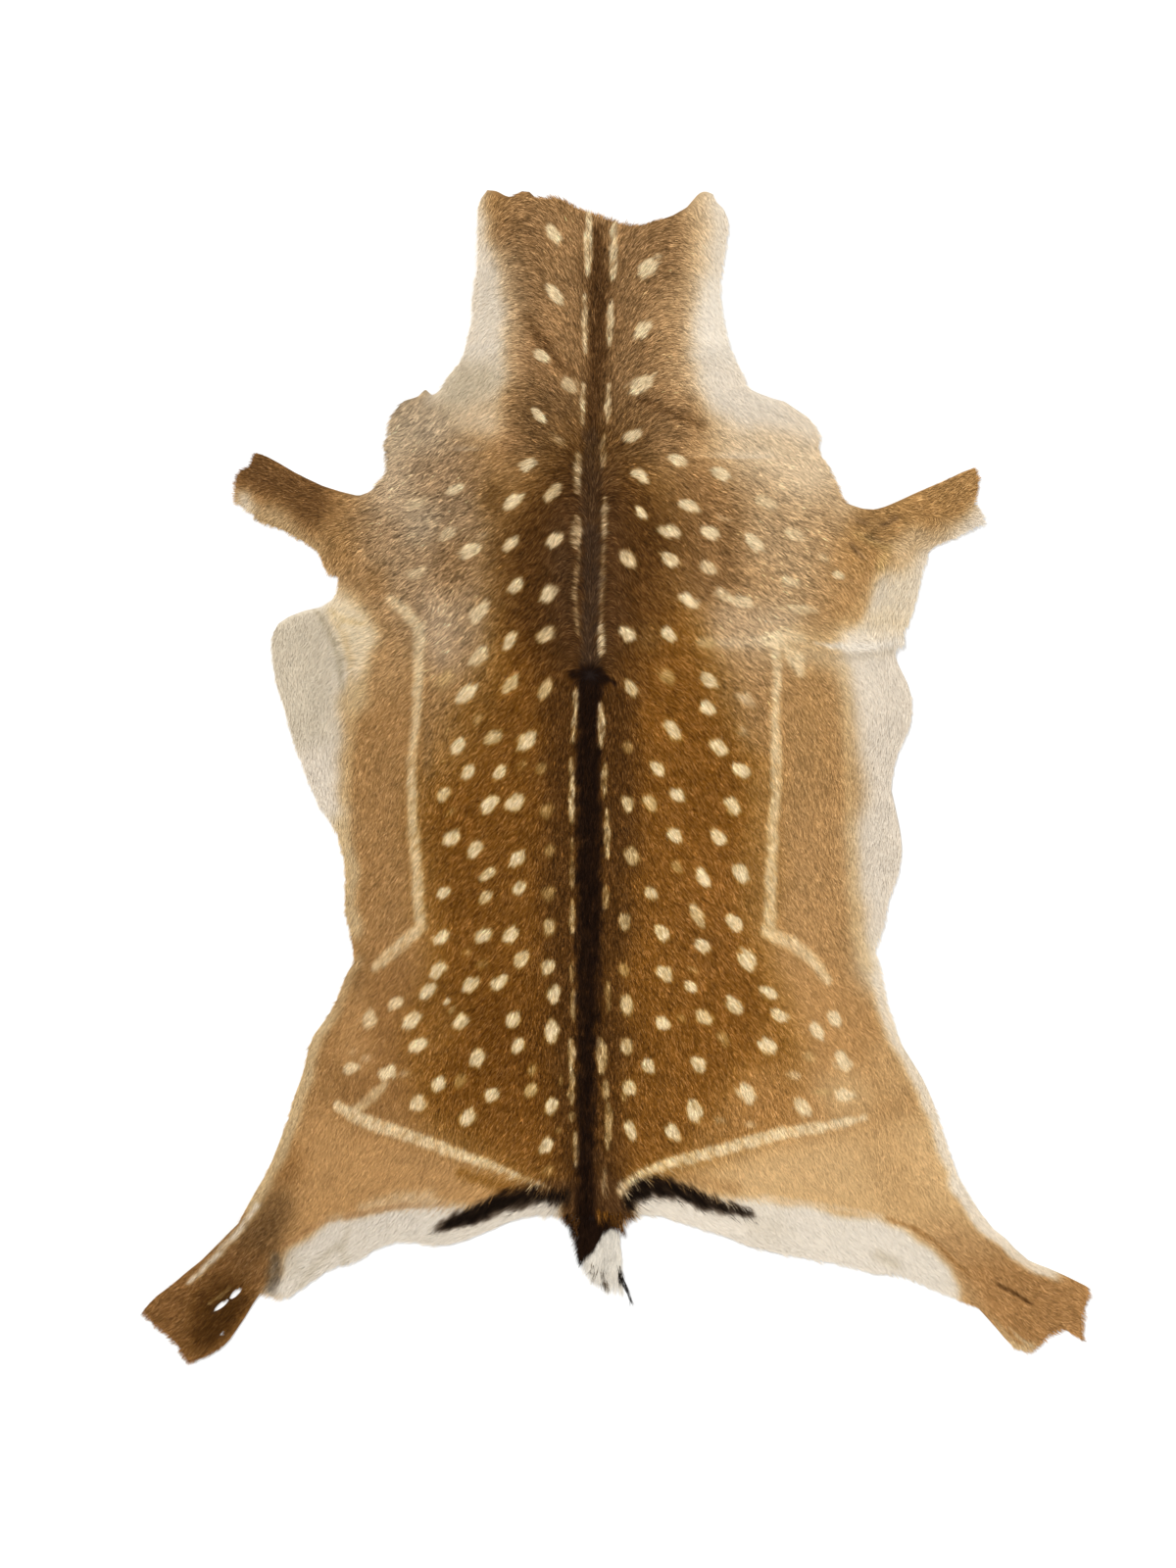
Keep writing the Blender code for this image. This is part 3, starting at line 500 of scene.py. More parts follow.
# A zone is a soft-edged patch inside an outline. Grizzle is how much its hairs differ.
Zone = namedtuple("Zone", "pigment edge strength grizzle outline")
ZONES = [Zone(*row) for row in (
    ("thigh left", 11, 1.0, 0.5, [(250, 1262), (292, 1150), (336, 1128), (420, 1166), (575, 1222),
        (575, 1250), (440, 1262), (300, 1290)]),
    ("thigh left", 14, 0.5, 0.5, [(262, 1240), (286, 1160), (318, 1100), (350, 1140), (348, 1240),
        (290, 1262)]),
    ("thigh right", 11, 1.0, 0.4, [(632, 1232), (700, 1192), (790, 1166), (892, 1142), (950, 1130),
        (1000, 1220), (1010, 1280), (940, 1274), (890, 1250), (640, 1262)]),
    ("haunch right", 16, 0.3, 0.5, [(905, 1130), (930, 1180), (960, 1250), (930, 1262), (890, 1200),
        (880, 1150)]),
    ("haunch left", 20, 1.0, 0.6, [(370, 980), (438, 970), (470, 1120), (430, 1156), (340, 1124),
        (330, 1080)]),
    ("haunch right", 20, 1.0, 0.6, [(784, 966), (846, 984), (900, 1060), (924, 1128), (872, 1142),
        (800, 1152), (770, 1050)]),
    ("flank pale", 12, 0.9, 0.9, [(376, 640), (424, 640), (420, 700), (384, 716), (368, 700)]),
    ("flank shade", 20, 0.75, 0.9, [(800, 680), (850, 700), (850, 800), (800, 820)]),
    ("saddle brown", 14, 1.0, 1.25, [(520, 600), (470, 690), (434, 800), (436, 940), (446, 990),
        (420, 1050), (440, 1150), (560, 1206), (650, 1204), (730, 1164), (800, 1132), (806, 1060),
        (776, 960), (780, 800), (752, 700), (700, 610)]),
    ("warm croup", 22, 0.9, 1.2, [(450, 1120), (500, 1130), (580, 1160), (640, 1150), (760, 1100),
        (790, 1130), (690, 1180), (600, 1190), (520, 1180)]),
    ("warm croup", 20, 0.8, 1.4, [(690, 880), (770, 870), (770, 1000), (690, 1010)]),
    ("croup light", 12, 0.9, 0.9, [(700, 1162), (728, 1134), (762, 1078), (800, 1068), (818, 1140),
        (770, 1162), (712, 1180)]),
    ("saddle low", 20, 0.9, 1.3, [(480, 1020), (570, 1000), (572, 1150), (500, 1120)]),
    ("fawn", 18, 0.8, 1.5, [(432, 610), (500, 610), (506, 690), (470, 790), (434, 800)]),
    ("fawn", 18, 0.7, 1.5, [(786, 600), (720, 590), (710, 660), (752, 720), (786, 800)]),
    ("grizzled left", 16, 1.0, 1.6, [(372, 470), (398, 400), (444, 404), (476, 450), (504, 494),
        (506, 560), (498, 640), (462, 700), (424, 640), (380, 610), (362, 560)]),
    ("shoulder pale", 12, 0.8, 1.2, [(372, 430), (414, 430), (424, 500), (408, 528), (380, 520),
        (370, 470)]),
    ("side pale", 9, 0.85, 1.2, [(430, 604), (458, 604), (462, 672), (436, 680)]),
    ("grizzled brown", 16, 0.7, 1.4, [(366, 560), (420, 560), (420, 640), (380, 620)]),
    ("grizzled grey", 10, 0.9, 1.2, [(390, 400), (446, 398), (476, 436), (452, 462), (398, 462)]),
    ("grizzled brown", 18, 0.9, 1.5, [(722, 470), (770, 440), (846, 440), (860, 510), (836, 600),
        (796, 680), (762, 690), (744, 620), (744, 540)]),
    ("shoulder brown", 12, 0.9, 1.4, [(688, 476), (730, 476), (756, 530), (764, 610), (700, 624),
        (684, 560)]),
    ("side pale", 8, 0.6, 1.2, [(724, 618), (760, 614), (812, 620), (816, 660), (770, 664), (728, 660)]),
    ("grizzled grey", 8, 0.8, 1.2, [(410, 510), (446, 510), (446, 556), (412, 556)]),
    ("shoulder pale", 8, 0.6, 1.1, [(428, 420), (462, 424), (462, 446), (430, 446)]),
    ("collar pale", 8, 0.6, 0.9, [(386, 440), (418, 436), (420, 470), (392, 474)]),
    ("thigh left", 8, 0.7, 0.5, [(346, 1000), (376, 1000), (372, 1090), (336, 1090)]),
    ("shoulder pale", 7, 0.6, 1.0, [(846, 508), (872, 506), (874, 545), (850, 548)]),
    ("thigh right", 10, 0.85, 0.5, [(832, 1096), (880, 1090), (906, 1120), (890, 1142), (840, 1140)]),
    ("side pale", 8, 0.4, 1.3, [(436, 590), (474, 590), (474, 690), (440, 694)]),
    ("haunch left", 8, 0.6, 1.0, [(368, 572), (396, 576), (400, 612), (380, 616), (366, 598)]),
    ("fawn", 9, 0.6, 1.2, [(748, 716), (778, 716), (778, 764), (752, 764)]),
    ("flank shade", 9, 0.5, 1.0, [(766, 790), (786, 790), (786, 960), (756, 960), (756, 880)]),
    ("fawn", 8, 0.5, 1.3, [(766, 578), (796, 578), (796, 604), (766, 604)]),
    ("shoulder brown", 10, 0.5, 1.4, [(446, 552), (480, 556), (484, 604), (448, 604)]),
    ("grizzled brown", 8, 0.6, 1.4, [(468, 600), (494, 600), (494, 662), (468, 662)]),
    ("collar pale", 7, 0.45, 1.0, [(786, 620), (814, 622), (814, 642), (786, 642)]),
    ("saddle brown", 9, 0.5, 1.25, [(466, 716), (500, 716), (500, 744), (466, 744)]),
    ("fawn", 8, 0.35, 1.3, [(508, 600), (532, 600), (532, 620), (508, 620)]),
    ("haunch left", 9, 0.5, 0.9, [(430, 1058), (452, 1018), (472, 1020), (452, 1084), (428, 1086)]),
    ("croup light", 8, 0.5, 1.0, [(768, 1036), (794, 1036), (794, 1064), (770, 1064)]),
    ("fawn", 8, 0.45, 1.3, [(728, 698), (752, 698), (752, 724), (728, 724)]),
    ("thigh right", 9, 0.6, 0.5, [(886, 1056), (912, 1060), (932, 1124), (908, 1128)]),
    ("shoulder brown", 8, 0.45, 1.4, [(470, 480), (492, 480), (492, 500), (470, 500)]),
    ("foreleg light", 7, 0.45, 0.8, [(850, 618), (872, 618), (870, 644), (850, 644)]),
    ("collar pale", 14, 1.0, 0.7, [(706, 430), (764, 390), (870, 410), (880, 500), (812, 512),
        (750, 474)]),
    ("nape brown", 12, 1.0, 1.4, [(520, 190), (560, 190), (650, 225), (702, 200), (702, 330), (716, 420),
        (700, 470), (640, 486), (560, 486), (524, 460), (512, 410), (520, 340), (518, 260)]),
    ("nape light", 9, 0.85, 1.1, [(668, 296), (704, 296), (704, 392), (668, 392)]),
    ("withers", 13, 0.85, 1.4, [(532, 396), (592, 404), (592, 470), (520, 470)]),
    ("withers", 13, 0.85, 1.4, [(622, 400), (662, 400), (668, 470), (622, 470)]),
    ("nape shade", 9, 0.7, 1.4, [(504, 226), (540, 224), (545, 300), (574, 400), (560, 420), (524, 350),
        (508, 290)]),
    ("nape stripe", 8, 0.55, 1.3, [(604, 236), (620, 236), (628, 330), (620, 450), (592, 450),
        (596, 330)]),
    ("throat orange", 7, 0.75, 0.8, [(520, 352), (544, 350), (550, 378), (524, 392)]),
    ("throat orange", 8, 0.7, 0.8, [(500, 440), (516, 430), (534, 448), (522, 468), (500, 462)]),
    ("saddle shade", 19, 0.95, 1.5, [(584, 440), (552, 486), (504, 552), (510, 604), (524, 644),
        (560, 706), (600, 712), (640, 690), (680, 610), (704, 556), (670, 500), (628, 452)]),
    ("saddle shade", 8, 0.5, 1.4, [(492, 496), (512, 494), (512, 526), (490, 528)]),
    ("fawn", 8, 0.6, 1.4, [(650, 636), (676, 636), (676, 664), (650, 664)]),
    ("nape stripe", 10, 0.95, 1.2, [(576, 470), (556, 540), (556, 640), (586, 700), (622, 700),
        (640, 640), (640, 540), (622, 470)]),
    ("mane", 8, 0.5, 1.2, [(566, 540), (580, 540), (584, 640), (572, 620)]),
    ("shoulder brown", 6, 0.5, 1.3, [(612, 460), (632, 460), (630, 500), (612, 500)]),
    ("saddle shade", 10, 0.9, 1.4, [(558, 690), (553, 850), (560, 1000), (572, 1226), (634, 1226),
        (636, 1000), (651, 850), (652, 690)]),
    ("collar pale", 10, 0.6, 0.7, [(490, 230), (526, 256), (540, 330), (530, 390), (490, 400)]),
    ("neck white", 6, 1.0, 0.25, [(460, 160), (488, 160), (505, 250), (516, 320), (514, 380), (496, 428),
        (430, 410), (452, 350), (456, 300)]),
    ("throat white", 8, 0.8, 0.3, [(440, 404), (462, 372), (512, 376), (500, 420), (470, 446)]),
    ("collar pale", 11, 0.8, 0.7, [(700, 160), (700, 240), (698, 330), (694, 400), (760, 420),
        (780, 160)]),
    ("neck white", 8, 1.0, 0.2, [(790, 160), (730, 160), (722, 214), (714, 290), (706, 340), (707, 392),
        (722, 420), (804, 430), (790, 380), (780, 330)]),
    ("throat light", 8, 0.8, 0.2, [(722, 290), (760, 290), (770, 350), (760, 384), (727, 372),
        (718, 330)]),
    ("collar pale", 8, 1.0, 0.5, [(462, 418), (516, 410), (512, 444), (490, 454), (466, 442)]),
    ("belly white", 8, 0.85, 0.3, [(716, 372), (764, 376), (850, 420), (840, 450), (766, 436),
        (716, 420)]),
    ("belly white", 7, 1.0, 0.25, [(240, 590), (330, 572), (350, 590), (372, 640), (366, 690), (352, 716),
        (348, 890), (300, 900), (236, 700)]),
    ("gold edge", 8, 0.5, 0.4, [(330, 580), (354, 588), (370, 618), (388, 644), (374, 680), (366, 640),
        (344, 616)]),
    ("flap cream", 9, 0.9, 0.15, [(240, 610), (330, 612), (342, 680), (344, 760), (240, 770)]),
    ("fluff", 5, 0.95, 0.4, [(334, 612), (352, 612), (374, 626), (387, 646), (381, 672), (360, 702),
        (348, 672), (336, 638)]),
    ("sand", 6, 0.8, 0.5, [(352, 700), (376, 694), (374, 728), (352, 734)]),
    ("belly white", 4, 1.0, 0.2, [(1030, 500), (985, 522), (946, 538), (908, 560), (889, 597), (880, 634),
        (862, 664), (950, 670), (1030, 560)]),
    ("gold edge", 9, 0.6, 0.5, [(780, 646), (840, 642), (890, 632), (944, 636), (944, 684), (836, 684),
        (790, 664)]),
    ("collar pale", 7, 0.5, 0.7, [(810, 662), (862, 662), (862, 682), (810, 682)]),
    ("neck white", 6, 0.95, 0.3, [(852, 650), (890, 640), (944, 640), (944, 672), (874, 672),
        (854, 660)]),
    ("belly white", 9, 1.0, 0.2, [(854, 660), (976, 640), (976, 760), (966, 970), (900, 1016),
        (876, 1004), (871, 900), (874, 800), (874, 760), (860, 700)]),
    ("foreleg dark", 7, 1.0, 1.0, [(236, 448), (268, 450), (324, 484), (342, 512), (332, 540), (306, 534),
        (262, 506), (236, 500)]),
    ("fawn", 7, 0.7, 1.0, [(246, 508), (300, 536), (352, 548), (366, 590), (322, 590), (240, 520)]),
    ("sand", 5, 0.6, 0.7, [(240, 504), (300, 534), (330, 556), (330, 596), (240, 540)]),
    ("neck white", 4, 0.8, 0.4, [(236, 502), (250, 504), (264, 522), (240, 524)]),
    ("flank pale", 6, 0.5, 0.6, [(348, 836), (372, 836), (372, 866), (348, 866)]),
    ("fluff", 8, 0.5, 0.3, [(900, 562), (935, 548), (940, 640), (884, 652)]),
    ("haunch left", 8, 0.8, 0.6, [(268, 1170), (310, 1176), (306, 1212), (270, 1206)]),
    ("foreleg light", 7, 0.6, 1.0, [(322, 540), (352, 548), (362, 580), (330, 584)]),
    ("foreleg light", 9, 1.0, 1.0, [(860, 524), (905, 516), (1004, 470), (1004, 512), (960, 542),
        (908, 584), (862, 590)]),
    ("collar pale", 6, 0.75, 0.6, [(900, 560), (930, 540), (960, 534), (950, 552), (912, 580)]),
    ("waist shade", 9, 0.4, 1.4, [(880, 524), (905, 520), (902, 550), (880, 556)]),
    ("waist shade", 8, 0.4, 0.8, [(360, 970), (378, 974), (372, 1012), (352, 1030)]),
    ("waist shade", 10, 0.25, 0.8, [(862, 960), (882, 968), (886, 1010), (868, 1016)]),
    ("knee dark", 11, 0.95, 1.0, [(236, 1262), (258, 1232), (286, 1206), (300, 1226), (280, 1280),
        (240, 1330), (196, 1310)]),
    ("shank brown", 9, 1.0, 0.9, [(126, 1340), (196, 1286), (246, 1266), (282, 1280), (278, 1330),
        (196, 1410)]),
    ("knee dark", 9, 0.6, 1.0, [(244, 1276), (276, 1280), (270, 1306), (240, 1302)]),
    ("shank dark", 9, 1.0, 0.9, [(200, 1316), (236, 1300), (258, 1330), (240, 1372), (208, 1392),
        (196, 1366)]),
    ("knee light", 12, 1.0, 0.7, [(944, 1236), (1010, 1260), (1040, 1300), (990, 1310), (950, 1280)]),
    ("shank light", 9, 1.0, 0.75, [(986, 1286), (1040, 1290), (1118, 1304), (1118, 1376), (1050, 1392),
        (996, 1336)]),
    ("rump white", 3.4, 1.0, 0.16, [(285, 1300), (296, 1276), (319, 1257), (338, 1246), (361, 1239),
        (404, 1228), (440, 1225), (470, 1230), (493, 1234), (520, 1226), (574, 1216), (582, 1300),
        (330, 1340), (262, 1340), (271, 1312)]),
    ("rump white", 2.8, 1.0, 0.16, [(636, 1230), (663, 1210), (690, 1212), (722, 1224), (755, 1222),
        (780, 1221), (830, 1230), (858, 1240), (892, 1242), (923, 1255), (944, 1268), (973, 1292),
        (984, 1330), (640, 1330)]),
    ("collar pale", 6, 0.22, 0.8, [(972, 1296), (1000, 1318), (1012, 1345), (1000, 1350), (976, 1332)]),
    # Painted shade: soft patches of shadow beside the folds in the rump's white.
    ("painted shade", 10, 0.22, 0.2, [(765, 1240), (800, 1240), (800, 1262), (765, 1262)]),
    ("painted shade", 6, 0.3, 0.2, [(292, 1280), (312, 1276), (312, 1304), (292, 1306)]),
    ("nape stripe", 3.5, 1.0, 1.2, [(578, 1205), (636, 1205), (646, 1228), (642, 1260), (582, 1260),
        (572, 1234)]),
)]
for zone in ZONES:
    outline = np.array(zone.outline, float)
    there = window(outline[:, 0], outline[:, 1], 3.0 * zone.edge + 12.0)
    ragged = min(1.0, zone.edge / 6.0)
    patch = within(across[there] + ragged * ragged_x[there], down[there] + ragged * ragged_y[there], outline)
    mask = np.clip(soften(patch.astype(float), zone.edge), 0.0, 1.0)
    tint(there, zone.strength * mask, zone.pigment, zone.grizzle)

# Where the belly's white hair shows along the cut edge: a rim of some width inside an outline.
Rim = namedtuple("Rim", "pigment width edge strength grizzle outline")
RIMS = [Rim(*row) for row in (
    ("sand", 14, 7, 0.8, 0.4, [(340, 830), (380, 840), (380, 940), (366, 960), (330, 960)]),
    ("sand", 9, 6, 0.6, 0.5, [(345, 970), (390, 980), (380, 1040), (320, 1060), (320, 1000)]),
    ("sand", 12, 6, 0.8, 0.4, [(345, 1035), (336, 1060), (330, 1120), (310, 1200), (262, 1245),
        (230, 1220), (290, 1040)]),
    ("shank rim", 6, 3, 0.7, 0.5, [(266, 1322), (290, 1330), (230, 1405), (200, 1400), (210, 1380),
        (246, 1346)]),
    ("gold edge", 15, 9, 0.5, 0.4, [(884, 960), (950, 950), (1010, 1215), (930, 1215), (890, 1100)]),
    ("neck white", 11.5, 5.5, 0.9, 0.3, [(884, 950), (950, 950), (1010, 1215), (930, 1215), (890, 1100)]),
    ("neck white", 13, 4, 0.95, 0.3, [(930, 1205), (1020, 1200), (1060, 1266), (990, 1270)]),
    ("neck white", 10, 3, 0.9, 0.25, [(990, 1258), (1060, 1256), (1086, 1296), (1076, 1312),
        (1030, 1310)]),
    ("sand", 7, 3, 0.8, 0.5, [(1014, 1342), (1030, 1336), (1060, 1376), (1036, 1390)]),
    ("grizzled grey", 4, 2, 0.5, 0.8, [(380, 396), (450, 390), (400, 470), (396, 520), (370, 520)]),
)]
for band in RIMS:
    outline = np.array(band.outline, float)
    there = window(outline[:, 0], outline[:, 1], 20.0)
    patch = np.clip(soften(within(across[there], down[there], outline).astype(float), 5.0), 0.0, 1.0)
    depth = rim_gap[there] + 0.3 * ragged_x[there] + 0.4 * strands[there]
    mask = patch * (1.0 - step_up(depth, band.width - band.edge, band.width + band.edge))
    tint(there, band.strength * mask, band.pigment, band.grizzle)

# The lines along the flanks and haunches, and some painted shade and highlights over the skin's folds
# and slits. A line is a row of places with its half width there.
Line = namedtuple("Line", "pigment edge strength grizzle places")
LINES = [Line(*row) for row in (
    ("gold edge", 8, 0.6, 0.4, [(862, 684, 4), (866, 800, 4), (870, 900, 5), (873, 950, 7),
        (884, 985, 6)]),
    ("gold edge", 6, 0.3, 0.5, [(912, 556, 3), (888, 598, 4), (862, 636, 4)]),
    ("gold edge", 7, 0.55, 0.4, [(376, 680, 4), (362, 722, 4), (353, 800, 4), (351, 860, 3)]),
    # Partly the hair's own gold, partly painted shade: the shaded golden valley beside the left flap's fold.
    ("gold edge", 4, 0.6, 0.5, [(334, 626, 1), (350, 646, 3), (358, 672, 4), (357, 702, 2)]),
    ("straw edge", 3, 0.35, 0.6, [(334, 621, 1), (352, 633, 2.5), (372, 637, 1.5)]),
    # Painted shade: soft lines of shadow beside the folds in the rump's white.
    ("painted shade", 5, 0.3, 0.2, [(306, 1312, 2), (322, 1290, 4), (344, 1272, 3)]),
    ("painted shade", 5, 0.3, 0.2, [(356, 1252, 2), (350, 1272, 4), (354, 1292, 3)]),
    ("painted shade", 6, 0.35, 0.2, [(896, 1280, 5), (912, 1288, 6)]),
    ("cream", 3.4, 0.85, 0.5, [(399, 613, 5), (414, 624, 6), (428, 642, 6), (427, 678, 6),
        (425, 731, 4.5), (420, 770, 4.5), (421, 835, 5.5), (425, 880, 5.5), (428, 930, 6),
        (430, 946, 6.5), (406, 966, 7), (384, 986, 5)]),
    ("frost", 6.0, 0.6, 1.0, [(716, 656, 4), (752, 656, 5), (790, 654, 7)]),
    ("cream", 5.0, 0.75, 0.8, [(784, 652, 7), (804, 650, 8), (818, 651, 4)]),
    ("waist shade", 5.0, 0.45, 1.0, [(436, 745, 4), (437, 790, 5)]),
    ("haunch left", 8.0, 0.5, 0.8, [(690, 1196, 6), (720, 1206, 6), (750, 1212, 5)]),
    ("nape stripe", 5.0, 0.85, 1.2, [(576, 1207, 5), (556, 1209, 6), (535, 1212, 6), (512, 1217, 5)]),
    ("throat light", 3.0, 0.9, 0.3, [(830, 656, 0), (848, 659, 3), (866, 661, 5), (890, 660, 4.5),
        (912, 656, 3), (924, 654, 1)]),
    # Painted shade under the belly's folded-over band.
    ("painted shade", 3.5, 0.22, 0.3, [(856, 671, 1.5), (880, 671, 2.5), (904, 667, 2.5), (920, 661, 1.5)]),
    ("collar pale", 6.0, 0.7, 0.3, [(370, 1232, 4), (404, 1222, 6), (440, 1219, 5)]),
    ("saddle brown", 5.0, 0.6, 0.9, [(470, 1196, 4), (500, 1206, 5), (535, 1214, 4)]),
    ("haunch left", 2.0, 0.8, 0.8, [(905, 1243, 1.5), (930, 1252, 2), (952, 1266, 2), (972, 1285, 2),
        (990, 1302, 1.5)]),
    ("cream", 4.5, 0.85, 0.7, [(802, 662, 4), (812, 673, 9), (817, 686, 5)]),
    # Painted shade: the dark valleys between the neck's folds, laid in the nape stripe's brown.
    ("nape stripe", 10.0, 0.6, 1.4, [(538, 326, 3), (560, 360, 6), (582, 380, 4)]),
    ("nape stripe", 7.0, 0.5, 1.4, [(655, 408, 3), (680, 420, 4), (716, 434, 3)]),
    # Painted highlights: pale bands where the neck's folds catch the light, laid in the rump's white.
    ("rump white", 7.0, 0.5, 0.3, [(478, 357, 3), (512, 352, 4)]),
    ("rump white", 7.0, 0.5, 0.3, [(706, 363, 4), (744, 357, 4)]),
    ("neck white", 3.0, 0.9, 0.3, [(262, 1230, 3), (250, 1248, 3.5), (236, 1265, 4), (222, 1280, 4),
        (206, 1296, 3), (192, 1309, 1.2)]),
    ("grey", 5.0, 0.75, 1.2, [(281, 1282, 4), (280, 1298, 7), (278, 1314, 5)]),
    ("mane", 3.0, 0.35, 1.2, [(868, 528, 1), (882, 534, 3)]),
    ("mane", 3.0, 0.45, 1.2, [(884, 548, 2), (898, 553, 2)]),
    ("mane", 3.0, 0.4, 1.2, [(900, 536, 2), (914, 529, 2)]),
    ("mane", 3.0, 0.4, 1.2, [(868, 556, 2), (880, 568, 2)]),
    ("straw edge", 5.0, 0.7, 1.0, [(872, 544, 3), (905, 560, 4), (898, 578, 4)]),
    # Painted shadow along the crease where the left belly flap folds.
    ("painted shade", 4.0, 0.7, 0.3, [(320, 619, 1), (330, 632, 3), (340, 652, 3.5), (347, 674, 3),
        (350, 700, 2)]),
    ("cream", 3.4, 0.85, 0.5, [(792, 652, 6), (793, 690, 4.5), (791, 731, 4.5), (792, 767, 5.5),
        (792, 809, 5.5), (788, 848, 5.5), (787, 888, 6), (785, 937, 6.5), (784, 951, 7), (809, 963, 7),
        (830, 979, 6), (844, 1001, 4)]),
    ("cream", 2.4, 0.95, 0.6, [(345, 1128, 5), (350, 1131, 6), (365, 1140, 6.5), (387, 1149, 7),
        (413, 1157, 6.5), (439, 1166, 6), (473, 1180, 5.5), (495, 1186, 4.5), (528, 1199, 2.8),
        (560, 1212, 1)]),
    ("cream", 2.5, 0.7, 0.3, [(366, 1130, 6), (376, 1122, 6), (396, 1103, 3)]),
    ("cream", 2.4, 0.95, 0.6, [(633, 1214, 5), (643, 1205, 5), (657, 1196, 4.5), (680, 1187, 5),
        (710, 1180, 6), (742, 1171, 6), (768, 1164, 6), (795, 1157, 6), (830, 1151, 5.5),
        (860, 1145, 4.5), (882, 1140, 3)]),
    # Painted shade: the dark slit in the right shank, laid in the nape stripe's brown.
    ("nape stripe", 1.4, 0.95, 0.6, [(1018, 1310, 1.2), (1036, 1320, 1.8), (1053, 1330, 1.2)]),
    ("sand", 1.6, 0.85, 0.4, [(1029, 1354, 0.8), (1040, 1366, 1.4), (1052, 1373, 0.8)]),
    ("sand", 1.6, 0.6, 0.4, [(213, 1330, 1), (224, 1323, 1.6), (234, 1315, 1)]),
    ("throat orange", 2.2, 0.6, 0.3, [(288, 1271, 2), (330, 1246, 2.5), (404, 1231, 3), (455, 1229, 3)]),
    ("collar pale", 2.2, 0.7, 0.3, [(780, 1221, 3), (858, 1233, 3), (900, 1241, 2.5)]),
)]


def draw_line(line, wander):
    """Lays a line's pigment: full within its half width there, then down over the edge's width."""
    places = np.array(line.places, float)
    gap, along = beside(places, places[:, 2].max() + 2.5 * line.edge + 4.0)
    walked = np.concatenate([[0.0], np.cumsum(np.hypot(*np.diff(places[:, :2], axis=0).T))])
    half = np.interp(along, walked / walked[-1], places[:, 2])
    mask = 1.0 - step_up(gap + wander, half - line.edge, half + line.edge)
    tint(..., line.strength * mask * np.clip(0.92 + 0.12 * worn, 0.0, 1.0), line.pigment, line.grizzle)


teeth = cloud(1.6, 11)
fine_wander, worn = combed(np.stack([cloud(1.8, 3), cloud(1.2, 4)], axis=2)).transpose(2, 0, 1)
for line in LINES:
    draw_line(line, 0.5 * fine_wander + 0.35 * strands)

